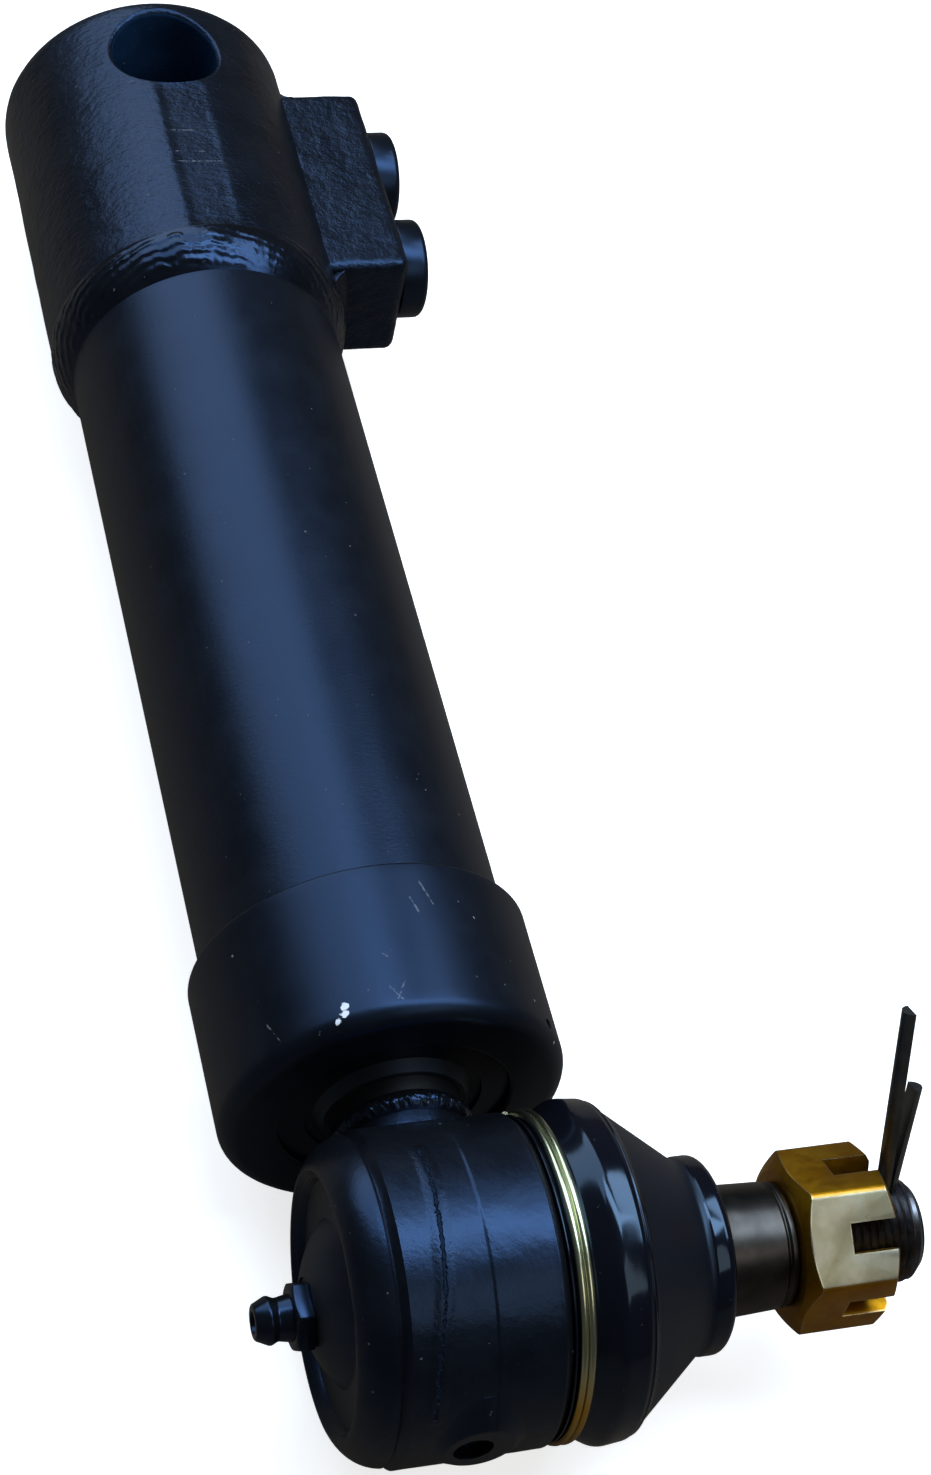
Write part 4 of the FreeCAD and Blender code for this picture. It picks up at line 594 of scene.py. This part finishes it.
# %% Rubber and plastic
def soft_finish(name, tone, rough, depth=0.02, size=1.0, banded=None):
    """Rubber or plastic. `banded` lists heights along the boot where the surface changes from glossy to satin."""
    finish, graph, shader, spot = new_finish(name)
    fine = graph.noise(spot, 1.0 / size, 3.0, 0.55, 1.0)
    patch = graph.noise(spot, 0.12, 2.0, 0.5, 2.0)
    dust = graph.noise(spot, 1.3, 1.0, 0.3, 3.0).rise(0.75, 0.82)
    gloss = rough + (patch - 0.5) * 0.1 + dust * 0.3
    if banded:
        along = graph.split(spot)[1]
        satin = along.rise(banded[0], banded[0] + 0.6) * along.rise(banded[1] + 0.3, banded[1])
        gloss = gloss + satin * banded[2]
    feed(graph, shader, Base_Color=mixed(graph, dust * 0.5, mixed(graph, patch, tone, tuple(c * 1.6 for c in tone)),
                                         (0.06, 0.06, 0.06)),
         Roughness=gloss, Normal=bumped(graph, fine, depth), Specular_Tint=(0.45, 0.68, 1.0))
    return finish


boot_rubber = soft_finish("boot_rubber", (0.0028, 0.003, 0.005), 0.13, 0.008, 1.5, banded=(31.2, 46.2, 0.27))
seal_rubber = soft_finish("seal_rubber", (0.005, 0.005, 0.005), 0.45)
seal_urethane = soft_finish("seal_urethane", (0.03, 0.07, 0.16), 0.35)
seal_plastic = soft_finish("seal_plastic", (0.20, 0.10, 0.035), 0.4)
seat_plastic = soft_finish("seat_plastic", (0.55, 0.53, 0.46), 0.4)
print("finishes made:", len(bpy.data.materials))


def rod_finish():
    """Hard chrome, with black overspray near the weld where the housing was painted after assembly."""
    finish, graph, shader, spot = new_finish("rod_chrome")
    along = graph.split(spot)[0]
    edge = graph.noise(spot, 0.5, 2.0, 0.6, 1.0)
    sprayed = (along + edge * 1.5).rise(264.5, 266.5)
    fine = graph.noise(spot, 5.0, 2.0, 0.5, 2.0)
    feed(graph, shader, Base_Color=mixed(graph, sprayed, (0.58, 0.59, 0.61), (0.0032, 0.0034, 0.004)),
         Metallic=1.0 - sprayed, Roughness=0.1 + sprayed * 0.28 + fine * 0.05, Normal=bumped(graph, fine, 0.004))
    return finish


rod_chrome = rod_finish()

# %% [markdown]
# ## The barrel
#
# The base end is a forging: round, closed at the back, bored across for its pin, and milled flat in a narrow strip
# on top. A fine turned mesh is pushed about by noise so that its skin isn't a perfect cylinder, and the strip is
# pressed into it with soft edges, since paint has filled them. The bore is cut with a tool that opens like a
# trumpet at both ends and follows the round skin, which leaves the rims rounded.

# %% Base end
def smooth(low, high, value):
    """0 at low and 1 at high, smooth between. With low above high it falls instead."""
    part = np.clip((value - low) / (high - low), 0, 1)
    return part * part * (3 - 2 * part)


def wander(points, size, shift=0.0):
    """Smooth noise from -1 to 1 at every point, in lumps of a size in millimetres."""
    flat = points.reshape(-1, 3)
    values = [noise.noise(Vector(p) / size + Vector((shift, 0, 0))) for p in flat]
    return np.array(values).reshape(points.shape[:-1])


def forged_skin(points):
    x, y, z = points[..., 0], points[..., 1], points[..., 2]
    radius = np.hypot(y, z)
    outside = smooth(31.0, 33.0, radius) * smooth(-18.0, -12.0, x) * smooth(60.0, 56.0, x)
    scale = 1 + outside * (wander(points, 15.0) * 0.16 + wander(points, 5.0, 9.0) * 0.07) / np.maximum(radius, 1)
    y, z = y * scale, z * scale
    strip = smooth(-5.6, -3.0, y) * smooth(8.2, 5.0, y) * smooth(10.0, 14.0, x) * smooth(62.0, 58.0, x)
    z = z - np.maximum(z - 32.55, 0) * strip
    return np.stack((x, y, z), axis=-1)


def trumpet(points):
    """Lets the flared ends of the boring tool follow the round skin of the forging."""
    x, y, z = points[..., 0], points[..., 1], points[..., 2]
    drop = 33.3 - np.sqrt(33.3 ** 2 - np.clip(y, -20, 20) ** 2)
    return np.stack((x, y, z - np.sign(z) * drop * smooth(20.0, 28.0, np.abs(z))), axis=-1)


base_end = turned("painted_base_end", divided(softened([
    (-18.6, 0.0), (-18.6, 33.3, 5.5), (60.0, 33.3, 0.3), (64.0, 30.5), (64.0, 30.05), (56.0, 30.05), (56.0, 26.0),
    (38.0, 26.0), (38.0, 23.05), (30.0, 23.05), (30.0, 0.0)], 8), 1.0, -14.0, 60.2), steps=360, shaped=forged_skin)
flare = [(33.3 - 1.6 + 1.7 * math.sin(a), 12 + 1.7 * (1 - math.cos(a))) for a in np.radians(np.linspace(0, 72, 8))]
borer = turned("borer", [(-40.0, 0.0), (-40.0, 16.0)] + [(-z, r) for z, r in reversed(flare)]
               + [(-22.0, 12.0), (22.0, 12.0)] + flare + [(40.0, 16.0), (40.0, 0.0)], axis="Z", steps=128, shaped=trumpet)
combined(base_end, borer)
base_end.data.materials.append(forged_paint)
base_end.data.materials.append(bore_painted_sheen_paint)
# Faces inside the cross bore take the second paint, whose lighter bluish tone is a painted sheen.
for face in base_end.data.polygons:
    face.material_index = int(math.hypot(face.center.x, face.center.y) < 0.0122 and abs(face.center.z) < 0.0325)
stand_for(base_end, "barrel", "base_end")

# %% [markdown]
# The tube is drawn steel, and it is the largest plain surface of all. The CAD cylinder has flat facets that a soft
# highlight would show, so the tube is turned again with many steps.

# %% Barrel tube
barrel_tube = turned("painted_barrel_tube", [(56.0, 26.0), (56.0, 30.0), (237.4, 30.0), (237.4, 29.2), (252.0, 29.2),
                                             (252.0, 26.0)], steps=384)
barrel_tube.data.materials.append(tube_paint)
stand_for(barrel_tube, "barrel", "barrel_tube")

# %% [markdown]
# The bead is grown from the weld tree. Its ripples are about 2 mm apart. Its metal has slumped towards the base
# end, so it falls steeply to the tube and leaves a dark groove there.

# %% Welds
seam = grown("rippled_base_weld", bead_graph.tree, {
    "Crown": 0.0005, "Ripple Height": 0.00020, "Lean": 5.0, "Sway": 6.5, "Slump": 1.9, "Uneven": 0.4}, bead_paint)
stand_for(tidied(seam, 60), "barrel", "base_weld")
rod_seam = grown("rippled_rod_weld", bead_graph.tree, {
    "Start": 0.2688, "End": 0.2730, "Start Radius": 0.0125, "End Radius": 0.0125, "Crown": 0.0012, "Ripples": 26,
    "Ripple Height": 0.00022, "Lean": 1.2, "Uneven": 0.5, "Seed": 4.0}, bead_paint)
stand_for(tidied(rod_seam, 60), "rod", "rod_weld")

# %% [markdown]
# The port block is a small casting. A box of fine squares is rounded by pulling every point to a fixed distance
# from a smaller box inside it, and then noise roughens it. Whatever would dip into the round base end is lifted
# onto it, which makes the saddle.

# %% Port block
def block_points(low, high, step):
    """The skin of a box as a grid of squares on each side."""
    low, high = np.array(low, float), np.array(high, float)
    points, faces = [], []
    for axis in range(3):
        u, v = (axis + 1) % 3, (axis + 2) % 3
        counts = [max(2, round((high[k] - low[k]) / step)) for k in (u, v)]
        for level in (low[axis], high[axis]):
            first = len(points)
            for i in range(counts[0] + 1):
                for j in range(counts[1] + 1):
                    point = [0.0, 0.0, 0.0]
                    point[axis] = level
                    point[u] = low[u] + (high[u] - low[u]) * i / counts[0]
                    point[v] = low[v] + (high[v] - low[v]) * j / counts[1]
                    points.append(point)
            for i in range(counts[0]):
                for j in range(counts[1]):
                    a = first + i * (counts[1] + 1) + j
                    faces.append((a, a + counts[1] + 1, a + counts[1] + 2, a + 1))
    return np.array(points), faces


def cast_block():
    low, high, radius = np.array((-5.3, 24.0, -14.1)), np.array((54.6, 49.3, 14.1)), 2.4
    points, faces = block_points(low, high, 0.8)
    core = np.clip(points, low + radius, high - radius)
    away = points - core
    away /= np.maximum(np.linalg.norm(away, axis=1, keepdims=True), 1e-9)
    rough = wander(points, 6.0, 3.0) * 0.16 + wander(points, 2.2, 5.0) * 0.06 - 0.1
    points = core + away * (radius + rough[:, None])
    seat = np.sqrt(33.2 ** 2 - np.clip(points[:, 2], -14.1, 14.1) ** 2)
    points[:, 1] = np.maximum(points[:, 1], seat)
    return new_piece("cast_port_block", points, faces, 50)


def peg(begin, finish, radius, wide=None, steps=48):
    """A round cutter between two points, wider at its far end if asked."""
    begin, finish = Vector(begin), Vector(finish)
    turn = (finish - begin).to_track_quat("Z", "Y").to_matrix()
    length = (finish - begin).length
    points = []
    for height, r in ((0.0, radius), (length, wide or radius)):
        points += [begin + turn @ Vector((r * math.cos(a), r * math.sin(a), height))
                   for a in np.linspace(0, 2 * math.pi, steps, endpoint=False)]
    faces = [tuple(range(steps)), tuple(range(steps, 2 * steps))]
    faces += [(i, (i + 1) % steps, steps + (i + 1) % steps, steps + i) for i in range(steps)]
    return new_piece("peg", [tuple(p) for p in points], faces)


port_block = cast_block()
for port in (10.8, 41.4):
    combined(port_block, peg((port, 38.3, 0), (port, 52, 0), 6.5), angle=50)
    combined(port_block, peg((port, 28, 0), (port, 40, 0), 3.5), angle=50)
port_block.data.materials.append(cast_paint)
stand_for(port_block, "barrel", "port_block")


def block_fillet(name, x, side, node):
    """The painted bead between one end of the block and the round base end."""
    spread = np.radians(np.linspace(-20.6, 20.6, 90))
    shape = [(0.0, -1.0), (2.7, -0.4), (2.3, 0.15), (1.4, 0.75), (0.75, 1.5), (0.2, 2.6), (-0.6, 2.8), (-0.6, -1.0)]
    rows = [[(x + side * (out + 0.12 * noise.noise(Vector((a * 22, up, x)))), (33.25 + up) * math.cos(a),
              (33.25 + up) * math.sin(a)) for out, up in shape] for a in spread]
    wide = len(shape)
    faces = [(i * wide + k, i * wide + (k + 1) % wide, (i + 1) * wide + (k + 1) % wide, (i + 1) * wide + k)
             for i in range(len(rows) - 1) for k in range(wide)]
    ends = [tuple(range(wide)), tuple(range((len(rows) - 1) * wide, len(rows) * wide))]
    bead_piece = new_piece(name, [p for row in rows for p in row], faces + ends, 60)
    bead_piece.data.materials.append(cast_paint)
    return stand_for(bead_piece, "barrel", node)


block_fillet("rear_block_fillet", -5.3, -1, "block_weld_rear")
block_fillet("front_block_fillet", 54.6, 1, "block_weld_front")


# %% Port plugs
def port_plug(name, port, node):
    """A round-headed plug with a hexagon socket."""
    plug = turned(name, softened([(40.3, 0.0), (40.3, 6.4, 0.5), (49.35, 6.4), (49.35, 11.4, 0.5), (55.7, 11.4, 1.5),
                                  (55.7, 5.0, 0.3), (55.3, 4.75), (55.3, 0.0)]), "Y", (port, 0, 0), 128)
    socket = turned("socket", [(50.7, 0.0), (50.7, 4.62), (57.0, 4.62), (57.0, 0.0)], "Y", (port, 0, 0), 6, phase=30)
    combined(plug, socket)
    plug.data.materials.append(cap_paint)
    return stand_for(plug, "barrel", node)


port_plug("rear_plug", 10.8, "port_plug_rear")
port_plug("front_plug", 41.4, "port_plug_front")

# %% [markdown]
# The gland nut is a plain turned ring with a generous round on its front rim. A small hole for a locking pin is
# drilled in the rim.

# %% Gland nut
gland_nut = turned("turned_gland_nut", divided(softened([
    (232.4, 30.05), (232.4, 33.3, 0.7), (266.0, 33.3, 3.6), (266.0, 22.3, 0.6), (259.0, 22.3), (259.0, 29.25),
    (237.4, 29.25), (237.4, 30.05)], 10), 2.0, 232.0, 263.0), steps=320)
lock = np.array((0.0, math.cos(math.radians(34)), math.sin(math.radians(34))))
combined(gland_nut, peg(tuple(lock * 31.3 + (261.9, 0, 0)), tuple(lock * 34.0 + (261.9, 0, 0)), 1.0, 1.1, 32))
gland_nut.data.materials.append(collar_paint)
stand_for(gland_nut, "barrel", "gland_nut")

# %% [markdown]
# ## The ball joint
#
# The housing is forged and then turned on its outside. Its lower lip was rolled over the end plug, so the lip is
# full and round, with a turned line behind it. The boss that the rod is welded to and a low pad with a centring
# hole stand on opposite sides, and both are joined to the housing before the hole is drilled.

# %% Ball housing
def arc(begin, finish, radius, steps=12):
    """Points on an arc between two places in a half section, bulging away from the axis."""
    begin, finish = np.array(begin, float), np.array(finish, float)
    chord = finish - begin
    normal = unit(np.array((-chord[1], chord[0])))
    if normal[1] > 0:
        normal = -normal
    middle = (begin + finish) / 2
    centre = middle + normal * math.sqrt(radius ** 2 - (chord @ chord) / 4)
    start, end = begin - centre, finish - centre
    sweep = math.acos(np.clip(unit(start) @ unit(end), -1, 1))
    return [tuple(centre + (start * math.sin((1 - k / steps) * sweep) + end * math.sin(k / steps * sweep))
                  / math.sin(sweep)) for k in range(steps + 1)]


def forged_housing(points):
    """Slight hollows on the outside of the housing."""
    out = np.hypot(points[..., 0], points[..., 2])
    skin = smooth(28.5, 30.0, out) * smooth(-14.0, -11.0, points[..., 1]) * smooth(15.0, 12.0, points[..., 1])
    scale = 1 + skin * (wander(points, 12.0, 2.0) * 0.10 + wander(points, 4.0, 7.0) * 0.05) / np.maximum(out, 1)
    return np.stack((points[..., 0] * scale, points[..., 1], points[..., 2] * scale), axis=-1)


ball_housing = turned("forged_ball_housing", divided(
    softened([(-19.6, 23.0), (-19.6, 21.9), (-21.7, 23.2, 0.6)], 4)[:-1][1:] + [(-21.7, 23.9)]
    + arc((-21.7, 24.7), (-15.3, 29.5), 8.5) + [(-14.9, 29.0), (-14.6, 28.85), (-14.3, 29.0), (-13.2, 30.2)]
    + softened([(14.2, 30.2, 0.6), (15.6, 29.0, 0.3), (15.6, 26.0), (19.5, 26.0, 0.4), (19.5, 17.5, 0.3), (17.0, 16.0),
                (12.41, 16.0), (12.41, 23.0), (-19.6, 23.0)], 4), 1.0, -13.5, 15.0), "Y", BALL, 320,
    shaped=forged_housing)
boss = turned("boss", softened([(-32.4, 0.0), (-32.4, 10.4, 0.2), (-30.3, 12.5, 0.4), (-24.5, 12.5), (-24.5, 0.0)]),
              "X", BALL, 128)
combined(ball_housing, boss, "UNION")
pad = turned("pad", softened([(24.5, 0.0), (24.5, 12.5), (27.5, 12.5), (31.2, 6.5, 1.5), (31.2, 0.0)]), "X", BALL, 96)
combined(ball_housing, pad, "UNION")
combined(ball_housing, peg((332.1, -1.2, 0), (335.5, -1.2, 0), 3.4, 3.75))
ball_housing.data.materials.append(housing_paint)
stand_for(ball_housing, "rod", "ball_housing")

# %% End plug and grease nipple
end_plug = turned("domed_end_plug", [(-18.0, 0.0), (-18.0, 22.95), (-19.6, 22.95), (-19.6, 16.0)]
                  + arc((-19.6, 15.2), (-25.6, 0.0), 22.25, 24), "Y", BALL, 192)
combined(end_plug, peg((304.9, -16, 0), (304.9, -26, 0), 3.0))
combined(end_plug, peg((304.9, -24.6, 0), (304.9, -28, 0), 6.8))
end_plug.data.materials.append(dome_paint)
stand_for(end_plug, "rod", "end_plug")

NIPPLE = (304.9, 0.0, 0.0)
nipple = turned("grease_fitting", softened([
    (-18.3, 0.0), (-18.3, 2.95), (-26.0, 2.95), (-26.0, 4.3), (-28.1, 4.3, 0.2), (-30.6, 3.8, 1.2), (-32.0, 4.5, 1.0),
    (-34.7, 3.2, 0.5), (-34.7, 2.0, 0.2), (-33.3, 1.7), (-33.3, 0.0)]), "Y", NIPPLE, 96)
hexagon = turned("hexagon", [(-24.62, 0.0), (-24.62, 6.755), (-28.1, 6.755), (-28.1, 0.0)], "Y", NIPPLE, 6, phase=30)
turning = turned("turning", [(-23.0, 0.0), (-23.0, 8.0), (-26.8, 8.0), (-28.1, 5.4), (-28.1, 0.0)], "Y", NIPPLE, 96)
combined(hexagon, turning, "INTERSECT")
bevelled(hexagon, 0.25, 2, 25)
combined(nipple, hexagon, "UNION", 30)
nipple.data.materials.append(bead_paint)
stand_for(nipple, "rod", "grease_nipple")

# %% [markdown]
# The wire ring is two close turns of the wound tree. Its cut ends are turned to the far side of the joint, as they
# are when the ring is fitted.

# %% Wire ring
ring = grown("wire_ring", wound_graph.tree, {
    "Turns": 2.0, "Radius": 0.02947, "Height": 0.0029, "Section": 0.00074, "Corners": 14, "Steps": 120,
    "Start Y": 0.01658, "Turn": math.radians(205)}, wire_zinc)
stand_for(tidied(ring, 60), "rod", "boot_ring")

# %% [markdown]
# The boot keeps grease in and dirt out. It is one turned skin of rubber: a foot under the wire, a full belly, a
# thin raised line, a cone and a thick lip that grips the stud. Its placing is baked into its mesh, and it stands in
# for the CAD boot without riding on a body.

# %% Dust boot
boot = turned("rubber_boot", divided(softened([
    (15.9, 26.05), (15.9, 29.6, 0.4), (16.35, 29.5, 0.3), (16.6, 28.7, 0.3), (20.2, 28.7, 1.2), (24.6, 31.5, 3.4),
    (29.3, 31.0, 1.2), (30.05, 30.45, 0.2), (30.4, 30.55, 0.2), (30.75, 30.1, 0.2), (31.1, 29.6, 0.2),
    (45.4, 18.0, 2.0), (46.8, 18.35, 0.8), (50.7, 18.35, 1.8), (50.7, 12.75, 0.5), (44.1, 12.72, 0.3), (43.4, 15.1),
    (30.3, 26.6), (26.5, 29.0), (24.5, 29.0), (21.6, 26.05)], 6), 1.6, 16.0, 46.0), "Y", BALL, 256, angle=50)
boot.data.materials.append(boot_rubber)
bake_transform(boot)
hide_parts("dust_boot")
print("boot:", len(boot.data.polygons), "faces")

# %% [markdown]
# ## The stud
#
# The stud is one turned piece: ball, neck, taper and thread. The thread is grown from the wound tree and laid
# on a core of the root diameter, and its last turn is trimmed to the chamfer at the end.

# %% Ball stud
sphere = [(17 * math.sin(a), 17 * math.cos(a)) for a in np.linspace(-math.pi / 2, math.asin(14.2 / 17), 40)]
stud = turned("turned_stud", sphere + softened([
    (34.0, 9.35, 2.0), (37.0, 13.0, 0.8), (62.9, 11.8, 0.5), (63.3, 11.3, 0.2), (63.5, 11.3, 0.2), (63.9, 11.7, 0.3),
    (64.9, 11.6, 0.4), (65.3, 11.0), (65.35, 9.0), (89.6, 9.0), (91.4, 8.1, 0.4), (91.4, 0.0)]), "Y", BALL, 192)
combined(stud, peg((293.3, 86.4, 17.32), (313.3, 86.4, -17.32), 2.15))
stud.data.materials.append(shank_steel)
stud.data.materials.append(thread_steel)
for face in stud.data.polygons:
    face.material_index = int(face.center.y > 0.0652)
stand_for(stud, "stud", "ball_stud")

thread = grown("stud_thread", wound_graph.tree, {
    "Turns": 17.6, "Radius": 0.00912, "Height": 0.0264, "Section": 0.00088, "Corners": 4, "Squeeze": 0.84,
    "Steps": 1400, "Start Y": 0.0643}, thread_steel)
crest = np.array([v.co for v in thread.data.vertices]) * 1000
reach = np.hypot(crest[:, 0] - BALL[0], crest[:, 2])
allowed = np.minimum(np.where(crest[:, 1] > 89.4, 10 - (crest[:, 1] - 89.4), 10.0), 9.0 + (crest[:, 1] - 63.6))
scale = np.minimum(1, np.maximum(allowed, 8.2) / reach)
crest[:, 0] = BALL[0] + (crest[:, 0] - BALL[0]) * scale
crest[:, 2] *= scale
thread.data.vertices.foreach_set("co", (crest * 0.001).ravel())
tidied(thread, 40)
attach(thread, "stud")
print("thread reaches", round(float(reach.max()), 2), "mm from the axis")

# %% [markdown]
# The castle nut starts as a plain hexagon. It is cut back by a turned envelope, which leaves the curved bevels on
# its corners, and then slotted across three times. A small bevel on every edge catches the light, as the worn
# plating does.

# %% Castle nut
def slab(angle, wide, low, high, reach):
    """A box across the stud axis, turned about it."""
    turn = Matrix.Rotation(math.radians(angle), 3, "Y")
    points = [turn @ Vector((x, 0, z)) + Vector((BALL[0], y, 0))
              for x in (-reach, reach) for y in (low, high) for z in (-wide / 2, wide / 2)]
    faces = [(0, 1, 3, 2), (4, 6, 7, 5), (0, 4, 5, 1), (2, 3, 7, 6), (0, 2, 6, 4), (1, 5, 7, 3)]
    return new_piece("slab", [tuple(p) for p in points], faces)


castle = turned("castellated_nut", [(65.4, 0.0), (65.4, 17.32), (83.8, 17.32), (83.8, 0.0)], "Y", BALL, 6)
bevelled(castle, 1.0, 4, 30)
envelope = turned("envelope", softened([(65.4, 0.0), (65.4, 13.6, 0.8), (68.3, 18.75), (80.9, 18.75), (83.8, 13.8, 1.0),
                                        (83.8, 0.0)]), "Y", BALL, 120)
combined(castle, envelope, "INTERSECT")
combined(castle, peg((303.3, 60, 0), (303.3, 90, 0), 10.05, steps=96))
for angle in (0, 60, 120):
    combined(castle, slab(angle, 5.6, 74.2, 90.0, 25.0))
bevelled(castle, 0.35, 3, 28)
castle.data.materials.append(yellow_zinc)
stand_for(castle, "stud", "castle_nut")

# %% [markdown]
# ## Carried-over pieces
#
# The rest of the CAD nodes have the right shape already: the tube, the rod, the guide and everything inside. They
# keep their meshes, and each gets the finish of what it is made of, the hidden ones too.

# %% Finishes for the carried-over nodes
WEARERS = (
    (tube_paint, "barrel_tube"),
    (honed_steel, "inner_tube"),
    (bead_paint, "block_weld_rear block_weld_front base_weld rod_weld grease_nipple"),
    (cap_paint, "rod_guide port_plug_rear port_plug_front"),
    (bush_bronze, "guide_bush"),
    (seal_urethane, "rod_seal piston_seal"),
    (seal_rubber, "wiper_seal liner_ring outer_guide_ring inner_guide_ring spigot_seal"),
    (rod_chrome, "piston_rod"),
    (turned_steel, "piston piston_nut seat_spring"),
    (seat_plastic, "lower_seat upper_seat"),
    (seal_plastic, "wear_ring"),
    (pin_steel, "cotter_pin"),
    (forged_paint, "base_end"),
    (cast_paint, "port_block"),
    (collar_paint, "gland_nut"),
    (housing_paint, "ball_housing"),
    (dome_paint, "end_plug"),
    (wire_zinc, "boot_ring"),
    (boot_rubber, "dust_boot"),
    (shank_steel, "ball_stud"),
    (yellow_zinc, "castle_nut"))
FINISHES = {name: finish for finish, names in WEARERS for name in names.split()}
for name, node in nodes.items():
    for solid in (node if isinstance(node, (list, tuple)) else [node]):
        for material_slot in solid.material_slots:
            material_slot.material = FINISHES[name]
print("nodes without a finish:", sorted(set(nodes) - set(FINISHES)))

# %% [markdown]
# ## Studio
#
# The photograph has a pure white ground, and soft cool light from above that leaves long reflections in the black
# paint. Large soft lamps stand where those reflections point: one for the barrel, two panels like a pair of windows
# for the joint, and a small one for the nut. The floor is pale, and it shows white to the camera by its
# own colour, so the lamps don't have to be strong. It still takes the shadow. In reflections the floor and the sky
# are nearly dark, because the photographed paint reflects dark surroundings.

# %% Light and floor
def softbox(name, at, target, size, power, tint):
    """A square lamp that faces a point."""
    data = bpy.data.lights.new(name, "AREA")
    data.shape = "RECTANGLE"
    data.size, data.size_y = size
    data.energy = power
    data.color = tint
    lamp = bpy.data.objects.new(name, data)
    lamp.location = at
    lamp.rotation_euler = (Vector(target) - Vector(at)).to_track_quat("-Z", "Y").to_euler()
    bpy.context.scene.collection.objects.link(lamp)
    return lamp


softbox("barrel_light", (-0.49, -0.278, 0.75), (0.15, 0.0, 0.03), (0.90, 0.90), 8.0, (0.66, 0.82, 1.0))
softbox("near_panel", (0.118, 0.15, 0.86), (0.303, 0.0, 0.0), (0.70, 0.26), 6.0, (0.66, 0.82, 1.0))
softbox("far_panel", (0.118, 0.50, 0.72), (0.303, 0.0, 0.0), (0.70, 0.22), 4.0, (0.66, 0.82, 1.0))
softbox("side_light", (0.81, 0.30, 0.70), (0.303, 0.07, 0.0), (0.40, 0.40), 0.8, (1.0, 0.95, 0.88))


def seen_white(graph, glossy=1.0):
    """1 for rays from the camera or through glass, and the given share for reflections."""
    path = graph.node("ShaderNodeLightPath").socket.node.outputs
    camera_ray, shine, through = (Field(graph, path[kind]) for kind in (
        "Is Camera Ray", "Is Glossy Ray", "Is Transmission Ray"))
    return (camera_ray + shine * glossy + through).least(1.0)


floor_finish, floor_graph, floor_shader, _ = new_finish("pale_floor")
mirrored = Field(floor_graph, floor_graph.node("ShaderNodeLightPath").socket.node.outputs["Is Glossy Ray"])
feed(floor_graph, floor_shader, Base_Color=mixed(floor_graph, mirrored, (0.80, 0.80, 0.80), (0.10, 0.07, 0.045)),
     Roughness=0.9, Emission_Color=(1.0, 1.0, 1.0), Emission_Strength=seen_white(floor_graph, 0.03) * 0.75)
SIDE, LEVEL = 4000, -33.4
floor = new_piece("floor", [(-SIDE, -SIDE, LEVEL), (SIDE, -SIDE, LEVEL), (SIDE, SIDE, LEVEL), (-SIDE, SIDE, LEVEL)],
                  [(0, 1, 2, 3)])
floor.data.materials.append(floor_finish)

world = bpy.data.worlds.new("Studio")
bpy.context.scene.world = world
world.use_nodes = True
sky_graph = Graph(world.node_tree)
backdrop = world.node_tree.nodes["Background"]
sky = seen_white(sky_graph, 0.01)
world.node_tree.links.new(mixed(sky_graph, sky, (0.04, 0.04, 0.043), (1.0, 1.0, 1.0)).socket, backdrop.inputs["Color"])
bpy.context.scene.view_settings.view_transform = "Standard"
